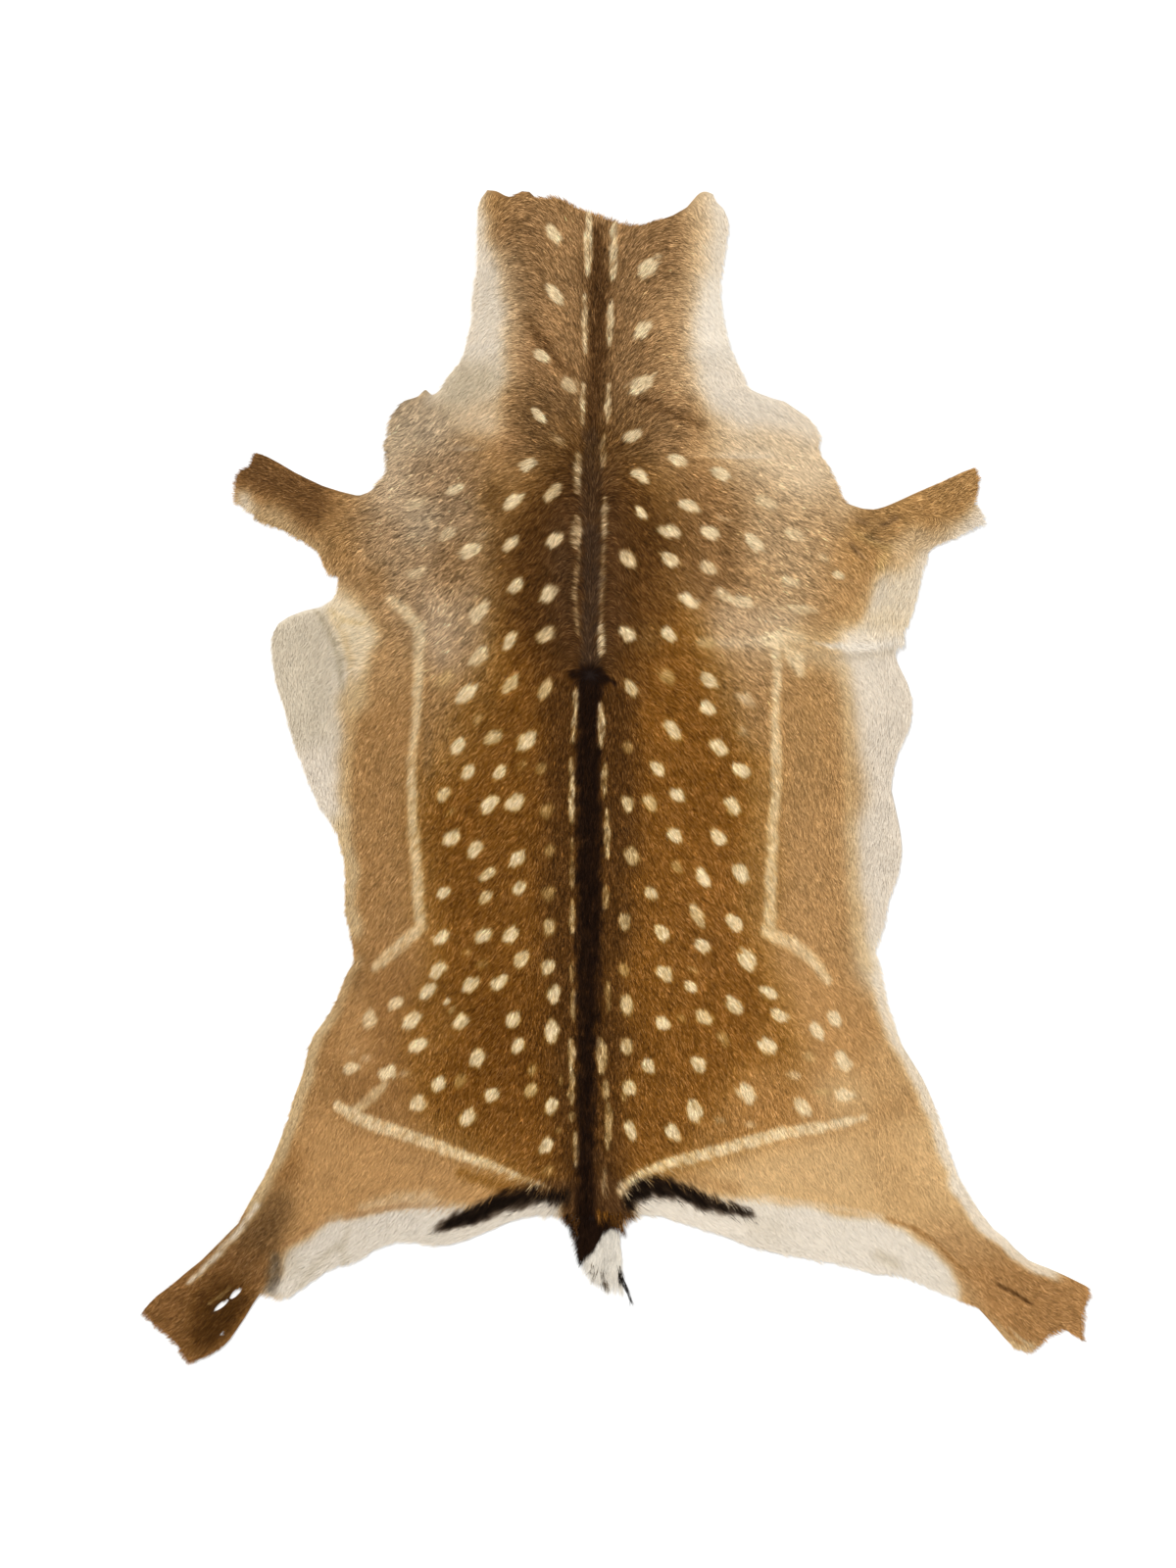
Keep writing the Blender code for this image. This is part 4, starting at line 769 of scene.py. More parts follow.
# The spots: tufts of cream hair, each with its middle, its reach across and down, and how clear
# it is. Those of a half or less are worn, with brown hair grown through them.
Spot = namedtuple("Spot", "x y across down clear")
SPOTS = [Spot(*row) for row in (
    (565, 240, 14, 21, 1), (566, 300, 15, 18, 1), (553, 364, 15, 14, 1), (582, 393, 16, 17, 0.85),
    (550, 424, 12, 16, 1), (570, 449, 14, 14, 0.45), (539, 474, 16, 14, 1), (565, 502, 14, 18, 0.9),
    (464, 500, 17, 11, 0.9), (523, 512, 17, 19, 1), (457, 545, 16, 15, 0.8), (424, 514, 20, 14, 0.62),
    (480, 562, 20, 16, 1), (491, 548, 14, 10, 0.45), (521, 555, 13, 15, 1), (566, 551, 16, 17, 1),
    (424, 585, 20, 14, 0.7), (527, 597, 14, 17, 1), (560, 606, 18, 19, 1), (489, 624, 17, 22, 0.95),
    (520, 655, 13, 19, 1), (557, 648, 18, 17, 0.9), (489, 669, 16, 20, 0.85), (453, 694, 20, 20, 0.64),
    (476, 708, 18, 20, 1), (521, 698, 14, 20, 0.9), (557, 703, 14, 20, 0.85), (489, 733, 12, 14, 0.45),
    (468, 760, 13, 16, 1), (503, 752, 19, 16, 0.85), (537, 756, 20, 20, 1), (477, 788, 13, 16, 1),
    (510, 788, 13, 16, 1), (532, 782, 10, 12, 0.4), (553, 784, 12, 12, 0.75), (453, 810, 13, 15, 0.9),
    (460, 828, 10, 10, 0.3), (500, 820, 16, 17, 1), (525, 818, 18, 18, 1), (558, 828, 13, 17, 0.7),
    (461, 855, 16, 16, 1), (485, 867, 14, 16, 1), (527, 876, 16, 18, 1), (561, 868, 12, 12, 0.75),
    (498, 892, 13, 15, 0.95), (529, 906, 13, 14, 1), (559, 911, 14, 14, 0.75), (452, 911, 14, 14, 1),
    (495, 916, 12, 14, 0.9), (451, 955, 16, 15, 1), (493, 954, 16, 16, 1), (521, 954, 15, 18, 1),
    (560, 946, 13, 17, 0.85), (476, 973, 10, 10, 0.35), (493, 984, 12, 9, 0.4), (532, 979, 14, 18, 0.95),
    (559, 987, 14, 16, 0.95), (447, 990, 16, 17, 1), (480, 1005, 16, 16, 1), (509, 1002, 15, 17, 1),
    (437, 1011, 16, 17, 1), (566, 1014, 15, 18, 1), (404, 1024, 15, 13, 0.9), (377, 1040, 16, 20, 0.85),
    (420, 1042, 16, 18, 1), (456, 1022, 7, 8, 0.9), (461, 1030, 6, 9, 0.8), (471, 1042, 16, 16, 1),
    (523, 1040, 15, 16, 1), (563, 1052, 14, 24, 1), (427, 1066, 19, 15, 1), (529, 1067, 13, 16, 1),
    (487, 1080, 14, 18, 1), (359, 1089, 15, 12, 0.9), (361, 1073, 8, 8, 0.4), (375, 1080, 14, 8, 0.35),
    (396, 1094, 17, 17, 1), (412, 1095, 14, 9, 0.5), (448, 1106, 16, 16, 1), (470, 1102, 12, 14, 0.7),
    (543, 1092, 10, 14, 0.5), (542, 1112, 14, 15, 0.85), (502, 1117, 15, 14, 1),
    (427, 1125, 18, 16, 0.95), (563, 1128, 13, 17, 1), (477, 1139, 17, 17, 1), (558, 1168, 15, 16, 1),
    (559, 1194, 10, 9, 0.5), (570, 1153, 7, 7, 0.5), (662, 273, 18, 24, 1), (656, 336, 18, 20, 1),
    (655, 393, 24, 21, 1), (646, 445, 18, 14, 1), (653, 485, 15, 16, 1), (691, 470, 17, 13, 1),
    (735, 484, 20, 16, 1), (702, 516, 18, 16, 1), (654, 524, 11, 15, 1), (683, 542, 20, 14, 1),
    (781, 513, 20, 16, 0.7), (738, 606, 16, 13, 0.8), (756, 614, 22, 13, 0.9), (818, 622, 30, 11, 0.66),
    (738, 528, 16, 10, 0.4), (725, 543, 18, 14, 1), (641, 570, 16, 18, 0.95), (684, 571, 19, 15, 1),
    (723, 579, 17, 14, 0.85), (770, 555, 18, 18, 1), (810, 546, 18, 14, 0.72), (806, 593, 18, 12, 0.68),
    (840, 569, 12, 10, 0.6), (856, 587, 10, 9, 0.85), (703, 613, 18, 16, 1), (640, 647, 16, 16, 1),
    (682, 647, 14, 17, 1), (722, 656, 18, 12, 0.8), (680, 691, 16, 18, 0.8), (644, 703, 12, 18, 0.9),
    (723, 694, 16, 16, 1), (722, 723, 15, 14, 1), (761, 714, 18, 16, 0.6), (757, 746, 14, 12, 0.35),
    (686, 745, 14, 20, 1), (640, 762, 10, 12, 0.75), (733, 763, 16, 18, 1), (670, 784, 13, 16, 1),
    (756, 786, 17, 16, 1), (691, 811, 15, 15, 1), (640, 820, 13, 18, 0.88), (663, 819, 13, 16, 0.85),
    (747, 822, 15, 18, 1), (688, 853, 14, 16, 1), (733, 854, 15, 17, 1), (645, 874, 14, 19, 0.85),
    (691, 884, 11, 13, 0.8), (717, 895, 13, 19, 1), (756, 891, 16, 18, 1), (664, 911, 13, 13, 0.95),
    (711, 933, 13, 26, 0.9), (637, 939, 14, 16, 0.85), (676, 952, 16, 17, 1), (749, 942, 16, 17, 1),
    (717, 965, 14, 16, 1), (762, 978, 18, 22, 1), (636, 989, 12, 14, 0.8), (678, 993, 16, 16, 1),
    (707, 991, 9, 9, 0.35), (705, 1007, 14, 14, 1), (784, 1013, 17, 15, 1), (640, 1025, 13, 22, 0.9),
    (748, 1025, 16, 17, 1), (718, 1038, 16, 15, 0.95), (695, 1039, 9, 9, 0.35), (675, 1044, 17, 15, 1),
    (796, 1037, 16, 14, 1), (852, 1039, 14, 18, 1), (833, 1051, 14, 18, 1), (738, 1059, 12, 16, 0.55),
    (783, 1067, 18, 18, 1), (639, 1068, 12, 17, 0.85), (661, 1087, 14, 14, 1), (713, 1086, 15, 16, 1),
    (859, 1083, 17, 20, 1), (827, 1078, 16, 10, 0.64), (810, 1097, 16, 10, 0.6), (761, 1115, 20, 20, 1),
    (643, 1110, 14, 16, 0.9), (862, 1117, 20, 15, 0.95), (839, 1114, 20, 8, 0.68),
    (819, 1129, 16, 20, 0.9), (709, 1133, 16, 23, 1), (734, 1143, 12, 8, 0.4), (766, 1147, 14, 8, 0.4),
    (643, 1153, 13, 18, 1), (687, 1155, 14, 18, 1),
)]
SPOT_EDGE = 0.24                  # of a spot's radius, over which it goes from clear to gone
SPOT_RAGGED = 0.1                 # of its radius, by which its outline wanders
SPOT_FEATHER = 0.08               # of its radius, by which single strands pass its outline
SPOT_SLANT = 0.5                  # of the lie's own slant, that a spot leans
SHOULDERS_END = 640.0             # mm down: above it, less clear spots are cream too
CREAM_FROM, CREAM_IN_FRONT_FROM, STRAW_FROM = 0.8, 0.5, 0.62      # how clear spots of these are

lie_slant = np.clip(lie_x * np.sign(lie_y) / np.maximum(abs(lie_y), 0.4), -1.2, 1.2)
for spot in SPOTS:
    there = window(spot.x, spot.y, 0.8 * max(spot.across, spot.down))
    lean = SPOT_SLANT * float(read(lie_slant, np.array(spot.x), np.array(spot.y)))
    over = across[there] - spot.x - lean * (down[there] - spot.y)
    ellipse = np.hypot(over / spot.across, (down[there] - spot.y) / spot.down) * 2.0
    ellipse += SPOT_RAGGED * fine_wander[there] + SPOT_FEATHER * strands[there]
    faint = max(0.0, 0.9 - spot.clear)
    mask = 1.0 - step_up(ellipse, 1.0 - SPOT_EDGE - faint, 1.0 + SPOT_EDGE + 0.6 * faint)
    mask *= np.clip(0.96 * spot.clear + 0.06 * strands[there] + 0.3 * faint * worn[there], 0.0, 1.0)
    clean = spot.clear > CREAM_FROM or (spot.clear > CREAM_IN_FRONT_FROM and spot.y < SHOULDERS_END)
    tint(there, mask, "cream" if clean else "straw" if spot.clear > STRAW_FROM else "frost", 0.6)

# Down the back: the dark stripe, the greyer mane in front of the whorl, and the broken row of
# pale dashes on each side of them.
STRIPES = [Line(*row) for row in (
    ("nape stripe", 6.0, 0.85, 1.0, [(609, 236, 5), (611, 300, 8), (610, 350, 7), (606, 400, 7),
        (604, 445, 8)]),
    ("mane", 6.0, 0.6, 1.0, [(603, 445, 8), (602, 500, 10), (603, 555, 12)]),
    ("stripe", 6.0, 0.5, 0.9, [(600, 548, 8), (600, 600, 7)]),
    ("mane", 3.2, 1.0, 0.9, [(603, 545, 9), (603, 600, 9), (603, 660, 9), (602, 692, 10)]),
    ("stripe", 5.5, 1.0, 0.9, [(602, 692, 13), (600, 720, 12), (600, 800, 12), (601, 900, 12),
        (600, 1000, 11), (599, 1080, 8.5), (598, 1150, 8), (598, 1200, 9), (600, 1240, 11),
        (598, 1270, 9)]),
    ("stripe", 2.6, 0.95, 0.4, [(584, 686, 3), (600, 690, 6), (616, 690, 5), (627, 697, 2.5)]),
    ("nape stripe", 5.0, 0.85, 0.9, [(611, 1180, 6), (618, 1215, 10), (620, 1244, 14)]),
)]
for line in STRIPES:
    draw_line(line, 1.6 * fine_wander)

Dash = namedtuple("Dash", "x0 y0 x1 y1 half_width clear")
DASHES = [Dash(*row) for row in (
    (601, 219, 600, 280, 4, 0.95), (597, 302, 597, 360, 2.6, 0.85), (596, 393, 594, 433, 2.8, 0.85),
    (590, 465, 589, 502, 3, 0.85), (589, 528, 588, 558, 5, 0.8), (592, 560, 587, 600, 2.2, 0.5),
    (586, 600, 590, 650, 2.1, 0.6), (588, 703, 587, 730, 2.6, 0.9), (587, 730, 585, 757, 3, 0.85),
    (584, 774, 584, 791, 2.6, 0.75), (584, 795, 583, 816, 3.6, 0.95), (584, 820, 583, 840, 3, 0.9),
    (584, 857, 584, 906, 2.0, 0.7), (584, 919, 584, 950, 3, 0.8), (584, 982, 584, 1000, 2.2, 0.6),
    (584, 1008, 585, 1041, 2.6, 0.7), (583, 1062, 584, 1090, 3, 0.85), (584, 1092, 583, 1125, 3.2, 0.85),
    (584, 1136, 584, 1142, 3.4, 0.8), (587, 1155, 588, 1187, 2.6, 0.8), (627, 228, 625, 284, 4, 0.95),
    (623, 309, 622, 352, 3.6, 0.95), (621, 393, 620, 430, 3, 0.85), (616, 444, 615, 475, 2.4, 0.6),
    (617, 508, 616, 552, 2.6, 0.8), (616, 555, 613, 640, 2.0, 0.55), (613, 640, 613, 668, 3.8, 0.95),
    (613, 719, 613, 761, 3.6, 0.9), (617, 780, 616, 813, 3.2, 0.85), (619, 827, 620, 873, 3, 0.85),
    (618, 905, 618, 925, 3, 0.7), (620, 1003, 621, 1030, 3.2, 0.65), (613, 1062, 614, 1092, 5.8, 0.8),
    (618, 1104, 618, 1120, 4, 0.75), (621, 1125, 620, 1172, 3.6, 0.75), (617, 1192, 615, 1218, 1.9, 0.65),
    (637, 1112, 637, 1122, 2.5, 0.6), (572, 1096, 572, 1108, 2.4, 0.5),
)]
for dash in DASHES:
    places = [(dash.x0, dash.y0), (dash.x1, dash.y1)]
    gap, along = beside(places, dash.half_width + 6.0)
    half = 1.1 * dash.half_width * np.sin(np.pi * np.clip(0.12 + 0.76 * along, 0.0, 1.0)) ** 0.6
    mask = 1.0 - step_up(gap + 0.6 * fine_wander, half - 1.4, half + 1.4)
    tint(..., dash.clear * mask * np.clip(0.85 + 0.15 * worn + 0.1 * strands, 0.0, 1.0), "cream", 0.9)

# The black bars over the rump's white, under a fringe of long tan hairs.
BARS = [Line(*row) for row in (
    ("rump black", 4.0, 1.0, 0.5, [(576, 1219, 5.5), (560, 1220, 6.5), (542, 1219, 7.5), (520, 1224, 8),
        (500, 1231, 7.5), (480, 1240, 8.5), (464, 1247, 6), (448, 1252, 3.5)]),
    ("rump black", 4.0, 1.0, 0.5, [(638, 1230, 4), (644, 1222, 8), (652, 1215, 10), (664, 1210, 10),
        (680, 1211, 9.5), (700, 1217, 8.5), (720, 1226, 6.5), (740, 1231, 5.5), (766, 1237, 3)]),
    ("stripe", 4.0, 0.9, 0.6, [(598, 1236, 9), (600, 1262, 9), (594, 1286, 5)]),
)]
for line in BARS:
    draw_line(line, 1.2 * fine_wander)

# Last comes a mottling in broad and fine clouds, and the coat goes from logs to light again.
BROAD_MOTTLE, FINE_MOTTLE = 0.035, 0.03       # how deep, as a power of e
coat += (grizzle * (BROAD_MOTTLE * cloud(14.0, 5) + FINE_MOTTLE * cloud(3.0, 6)))[:, :, None]
coat = np.clip(np.exp(coat), 0.001, 0.95)

# The coat itself: some 400 000 flat tapered hairs, rooted in the skin and laid along the combing.
# A hair is two triangles: from its root to its widest place, raised a little, and on to its tip.
HAIR_PITCH = 1.21                 # mm between roots
HAIR_WIDE = 0.66                  # mm at its widest
HAIR_BELLY = 0.45                 # of its length, where it is widest
HAIR_RISE = 1.7                   # mm of its middle over the skin
OVERHANG = 3.2                    # mm that a hair may reach past the rim, give or take
STRAND_TONE = 0.11                # how much lighter or darker strands are, as a power of e
TUFT_TONE = 0.035                 # the same for tufts
HAIR_TONE = 0.38                  # and for single hairs
BLEACH = 0.3                      # how far the lightest hairs go to cream
BRIGHTEN = 0.62                   # how much a lighter tone still brightens them
ROOT_TONE, TIP_TONE = -0.3, 0.16        # how dark roots and how light tips are, as a power of e
HEADING_STRAY = 4.5               # degrees that hairs stray from the combing
TIP_STRAY = 6.0                   # degrees that their tips bend aside
LENGTHS = (0.65, 1.1)             # of the charted length, the shortest and the longest hairs
WIDTHS = (0.7, 1.2)               # of the full width, the finest and the coarsest
TILTS = (0.55, 1.15)              # of the full rise, the flattest and the steepest
TIP_RISES = (0.4, 1.5)            # of the full rise, for their tips
TRIMS = 5                         # times that a hair past its overhang is cut back
TRIM = 0.8                        # of its length, that a cut leaves
MOST_GRIZZLE = 1.6                # that the tones of roots, tips and leather heed


def colour_at(x, y, root_x, root_y, reach_x, reach_y, own, anchor):
    """The coat's colour for a hair's point: between the point's own place and the hair's anchor."""
    return read(coat, root_x + reach_x * anchor * (1 - own) + (x - root_x) * own,
                root_y + reach_y * anchor * (1 - own) + (y - root_y) * own)


def fade(colour, tone):
    """A hair's colour made darker by a tone below 1, and above 1 half lighter and half bleached."""
    lighter = np.maximum(tone - 1.0, 0.0)[:, None]
    bleached = np.minimum(BLEACH * lighter, 0.5)
    dimmed = colour * np.minimum(tone, 1.0)[:, None] * (1.0 + BRIGHTEN * lighter)
    return dimmed + bleached * (linear(PIGMENTS["cream"]) - dimmed) * colour.max(axis=1, keepdims=True)


def skin_top(x, y):
    """The height of the leather's upper face, in mm."""
    return read(lift, x, y) + SKIN_THICK


def paint_points(mesh, colours):
    """Puts a row of colours, one for each point, into the mesh's pigment attribute."""
    rgba = np.ones((len(colours), 4), np.float32)
    rgba[:, :3] = colours
    mesh.attributes.new("pigment", "FLOAT_COLOR", "POINT").data.foreach_set("color", rgba.ravel())


def hair_mesh(name, x, y, length, heading, seed, rise=1.0, width=1.0, colour=None, own=0.45,
              anchor=0.5, contrast=None, ground=skin_top, overhang=OVERHANG, layer=0.0):
    """A mesh of hairs from arrays of roots, lengths and headings on the board.

    A root stands on the skin, the widest place is part of the way along the heading and the tip
    ends it, bent aside a little. Heights are the skin's there and the rise, less near the rim.
    """
    rng = np.random.default_rng(seed)
    count = len(x)
    heading = heading + np.radians(HEADING_STRAY) * rng.standard_normal(count)
    bend = np.radians(TIP_STRAY) * rng.standard_normal(count)
    length = length * rng.uniform(*LENGTHS, count)
    allowed = overhang * rng.uniform(0.1, 1.5, count) * np.clip(1.0 + 0.8 * read(teeth, x, y), 0.2, 2.6)
    for _ in range(TRIMS):
        past = -read(rim_gap, x + length * np.cos(heading), y + length * np.sin(heading)) - allowed
        length = np.where(past > 0.0, TRIM * length, length)
    mid_x = x + HAIR_BELLY * length * np.cos(heading)
    mid_y = y + HAIR_BELLY * length * np.sin(heading)
    tip_x, tip_y = x + length * np.cos(heading + bend), y + length * np.sin(heading + bend)
    half = 0.5 * HAIR_WIDE * width * rng.uniform(*WIDTHS, count)
    side_x, side_y = -half * np.sin(heading), half * np.cos(heading)
    full = rise * HAIR_RISE * np.clip(0.35 + 0.08 * read(rim_gap, x, y), 0.35, 1.0)
    roll = 0.28 * half * rng.standard_normal(count)
    tilt = rng.uniform(*TILTS, count)
    root_z = ground(x, y) - 0.2
    mid_z = ground(mid_x, mid_y) + full * tilt + layer
    tip_z = np.maximum(ground(tip_x, tip_y) + full * rng.uniform(*TIP_RISES, count) + layer, 0.3)
    points = np.stack([off_board(x, y, root_z),
                       off_board(mid_x + side_x, mid_y + side_y, mid_z + roll),
                       off_board(mid_x - side_x, mid_y - side_y, mid_z - roll),
                       off_board(tip_x, tip_y, tip_z)], axis=1)
    first = 4 * np.arange(count)[:, None]
    faces = np.stack([first + [0, 1, 2], first + [1, 3, 2]], axis=1).reshape(-1, 3)
    a, b, c = (points.reshape(-1, 3)[faces[:1]][:, k] for k in range(3))
    if np.cross(b - a, c - a)[0, 2] < 0:        # all are wound alike, so the first one tells
        faces = faces[:, ::-1]
    mesh = build_mesh(name, points.reshape(-1, 3), faces)
    reach_x, reach_y = tip_x - x, tip_y - y
    if contrast is None:
        contrast = read(grizzle, x, y)
    if colour is None:
        colour = [colour_at(px, py, x, y, reach_x, reach_y, own, anchor)
                  for px, py in ((x, y), (mid_x, mid_y), (mid_x, mid_y), (tip_x, tip_y))]
    else:
        colour = [colour] * 4
    clump = STRAND_TONE * read(strands, mid_x, mid_y) + TUFT_TONE * read(tufts, mid_x, mid_y)
    tone = np.exp(contrast * (clump + HAIR_TONE * rng.standard_normal(count)))
    shades = [np.exp(lean * np.minimum(contrast, MOST_GRIZZLE)) for lean in (ROOT_TONE, 0.0, 0.0, TIP_TONE)]
    painted = np.stack([fade(c, tone * shade) for c, shade in zip(colour, shades)], axis=1)
    paint_points(mesh, np.clip(painted.reshape(-1, 3), 0.0, 1.0))
    cells = int(np.ceil(np.sqrt(count)))
    corner = np.array([(0.5, 0.08), (0.1, 0.5), (0.9, 0.5), (0.5, 0.92)])
    cell = np.stack([np.arange(count) % cells, np.arange(count) // cells], axis=1)[:, None, :]
    flat = ((cell + corner) / cells).reshape(-1, 2)[faces.ravel()]
    mesh.uv_layers.new(name="OFBake").uv.foreach_set("vector", flat.astype(np.float32).ravel())
    return mesh


def tone_group():
    """Node group: a colour made lighter and darker in tufts and along single hairs, and a roughness.

    Both noises read the object's coordinates in metres, so a tuft's size is one over its scale.
    """
    group = bpy.data.node_groups.new("hair_tone", "ShaderNodeTree")
    group.interface.new_socket("Colour", in_out="INPUT", socket_type="NodeSocketColor")
    for name, start in (("Tufts", 90.0), ("Depth", 0.12), ("Fineness", 900.0)):
        socket = group.interface.new_socket(name, in_out="INPUT", socket_type="NodeSocketFloat")
        socket.default_value = start
    group.interface.new_socket("Colour", in_out="OUTPUT", socket_type="NodeSocketColor")
    group.interface.new_socket("Roughness", in_out="OUTPUT", socket_type="NodeSocketFloat")
    nodes, links = group.nodes, group.links
    inputs, outputs = nodes.new("NodeGroupInput"), nodes.new("NodeGroupOutput")
    place = nodes.new("ShaderNodeTexCoord")
    tufts = nodes.new("ShaderNodeTexNoise")
    tufts.inputs["Detail"].default_value = 3.0
    single = nodes.new("ShaderNodeTexNoise")
    single.inputs["Detail"].default_value = 1.0
    for noise, scale in ((tufts, "Tufts"), (single, "Fineness")):
        links.new(place.outputs["Object"], noise.inputs["Vector"])
        links.new(inputs.outputs[scale], noise.inputs["Scale"])
    both = nodes.new("ShaderNodeMath")
    both.operation = "ADD"
    links.new(tufts.outputs["Fac"], both.inputs[0])
    links.new(single.outputs["Fac"], both.inputs[1])
    centred = nodes.new("ShaderNodeMath")
    centred.operation = "SUBTRACT"
    centred.inputs[1].default_value = 1.0
    links.new(both.outputs[0], centred.inputs[0])
    value = nodes.new("ShaderNodeMath")
    value.operation = "MULTIPLY_ADD"
    value.inputs[2].default_value = 1.0
    links.new(centred.outputs[0], value.inputs[0])
    links.new(inputs.outputs["Depth"], value.inputs[1])
    toned = nodes.new("ShaderNodeHueSaturation")
    links.new(value.outputs[0], toned.inputs["Value"])
    links.new(inputs.outputs["Colour"], toned.inputs["Color"])
    links.new(toned.outputs["Color"], outputs.inputs["Colour"])
    rough = nodes.new("ShaderNodeMapRange")
    rough.inputs["To Min"].default_value = 0.5
    rough.inputs["To Max"].default_value = 0.78
    links.new(single.outputs["Fac"], rough.inputs["Value"])
    links.new(rough.outputs["Result"], outputs.inputs["Roughness"])
    return group


hair_tone = tone_group()


def pigmented(name, tufts, depth, fineness):
    """A material whose colour is its pigment attribute toned by the group, and that group's node."""
    material = bpy.data.materials.new(name)
    material.use_nodes = True
    nodes, links = material.node_tree.nodes, material.node_tree.links
    pigment = nodes.new("ShaderNodeAttribute")
    pigment.attribute_name = "pigment"
    toned = nodes.new("ShaderNodeGroup")
    toned.node_tree = hair_tone
    toned.inputs["Tufts"].default_value = tufts
    toned.inputs["Depth"].default_value = depth
    toned.inputs["Fineness"].default_value = fineness
    links.new(pigment.outputs["Color"], toned.inputs["Colour"])
    links.new(toned.outputs["Colour"], nodes["Principled BSDF"].inputs["Base Color"])
    return material, toned


HAIR_GLOSS = 0.03


def hair_material(name, tufts, depth, fineness):
    """Hair: its own pigment, rough or smoother by the single hair, with a faint gloss."""
    material, toned = pigmented(name, tufts, depth, fineness)
    shader = material.node_tree.nodes["Principled BSDF"]
    material.node_tree.links.new(toned.outputs["Roughness"], shader.inputs["Roughness"])
    shader.inputs["Specular IOR Level"].default_value = HAIR_GLOSS
    return material


coat_hair = hair_material("coat_hair", 70.0, 0.1, 800.0)

# The roots stand on a lattice, each moved aside by up to ROOT_STRAY of its pitch. Their headings
# follow the combing, with small and broad swirls.
ROOT_STRAY = 0.6
SMALL_SWIRL, SMALL_GRAIN = 3.5, 4.0     # degrees and mm
BROAD_SWIRL, BROAD_GRAIN = 4.0, 16.0
rng = np.random.default_rng(20)
root_x, root_y = np.meshgrid(np.arange(left, left + wide, HAIR_PITCH),
                             np.arange(top, top + tall, HAIR_PITCH))
root_x = (root_x + HAIR_PITCH * rng.uniform(-ROOT_STRAY, ROOT_STRAY, root_x.shape)).ravel()
root_y = (root_y + HAIR_PITCH * rng.uniform(-ROOT_STRAY, ROOT_STRAY, root_y.shape)).ravel()
rooted = read(rim_gap, root_x, root_y) > SKIN_INSET + 0.3
root_x, root_y = root_x[rooted], root_y[rooted]
swirl = np.radians(SMALL_SWIRL) * cloud(SMALL_GRAIN, 7) + np.radians(BROAD_SWIRL) * cloud(BROAD_GRAIN, 8)
heading = np.arctan2(read(lie_y, root_x, root_y), read(lie_x, root_x, root_y))
heading = heading + read(swirl, root_x, root_y)
length = read(hair_length, root_x, root_y)

# Over the rump's black bars some brown hairs are longer and brown to the tip. At the tail's root
# and at the shanks' cut ends the hairs reach further past the rim.
RUMP_TOP, RUMP_MIDDLE, RUMP_REACH = 1185, 605, 190      # mm on the board
OVERLAID = 0.12                   # of the rump's hairs
OVERLAID_LONGER = 1.3             # times the charted length
TAIL_TOP = 1222                   # mm down, where the tail's root begins
TAIL_SIDES = (588, 642)           # mm across
TAIL_LEFT_RIM, TAIL_RIM_REACH = 580, 9  # mm across, and to each side
SHANK_TOP = 1290                  # mm down
SHANK_ENDS = (215, 1045)          # mm across, where the left cut end stops and the right one starts
TAIL_SPILL, TAIL_RIM_SPILL, CUT_SPILL = 10.0, 7.0, 5.5  # mm past the rim
near_rump = (root_y > RUMP_TOP) & (np.abs(root_x - RUMP_MIDDLE) < RUMP_REACH)

# The coat in pieces of under 200 000 triangles, so that each part of the hide can be handled.
SHOULDERS_LINE, LOINS_LINE = 570, 950   # mm down
BACK_LINE = 603                   # mm across
in_front = root_y < SHOULDERS_LINE
in_middle = (root_y >= SHOULDERS_LINE) & (root_y < LOINS_LINE)
on_left = root_x < BACK_LINE
COAT_PARTS = {
    "coat_neck_and_shoulders": in_front,
    "coat_left_side": in_middle & on_left,
    "coat_right_side": in_middle & ~on_left,
    "coat_left_haunch": ~in_front & ~in_middle & on_left,
    "coat_right_haunch": ~in_front & ~in_middle & ~on_left,
}
for number, (name, here) in enumerate(COAT_PARTS.items()):
    over = near_rump[here] & (rng.uniform(0.0, 1.0, here.sum()) < OVERLAID)
    own, anchor = np.where(over, 0.1, 0.62), np.where(over, 0.1, 0.5)
    x, y = root_x[here], root_y[here]
    length[here] *= np.where(over, OVERLAID_LONGER, 1.0)
    at_tail = (y > TAIL_TOP) & (x > TAIL_SIDES[0]) & (x < TAIL_SIDES[1])
    at_rim = (y > TAIL_TOP) & (abs(x - TAIL_LEFT_RIM) < TAIL_RIM_REACH)
    cut_end = (y > SHANK_TOP) & ((x < SHANK_ENDS[0]) | (x > SHANK_ENDS[1]))
    spill = np.select([cut_end, at_rim, at_tail], [CUT_SPILL, TAIL_RIM_SPILL, TAIL_SPILL], OVERHANG)
    mesh = hair_mesh(name, x, y, length[here], heading[here], 30 + number, own=own, anchor=anchor,
                     overhang=spill)
    mesh.materials.append(coat_hair)
    piece = new_object(name, mesh)
    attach(piece, "root")
    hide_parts("hide")

# The leather's two faces: the hair side takes the coat's colour under the hairs, darkened as painted
# shade for the gaps between them, and the flesh side is pale, buffed suede.
SUEDE = (214, 196, 168)
# Painted shade: the hair side is darkened so that the gaps between the hairs look shaded.
PAINTED_GAP_SHADE = -0.45                # the hair side's tone, as a power of e
painted_gap_shade = np.exp(PAINTED_GAP_SHADE * np.minimum(read(grizzle, *skin_places.T), MOST_GRIZZLE))[:, None]
paint_points(skin.data, np.vstack([painted_gap_shade * read(coat, skin_places[:, 0], skin_places[:, 1]),
                                   np.tile(linear(SUEDE), (skin_count, 1))]))
leather, _ = pigmented("tanned_deerskin", 35.0, 0.35, 420.0)
nodes, links = leather.node_tree.nodes, leather.node_tree.links
shader = nodes["Principled BSDF"]
place = nodes.new("ShaderNodeTexCoord")
nap = nodes.new("ShaderNodeTexNoise")
nap.inputs["Scale"].default_value = 650.0
nap.inputs["Detail"].default_value = 4.0
links.new(place.outputs["Object"], nap.inputs["Vector"])
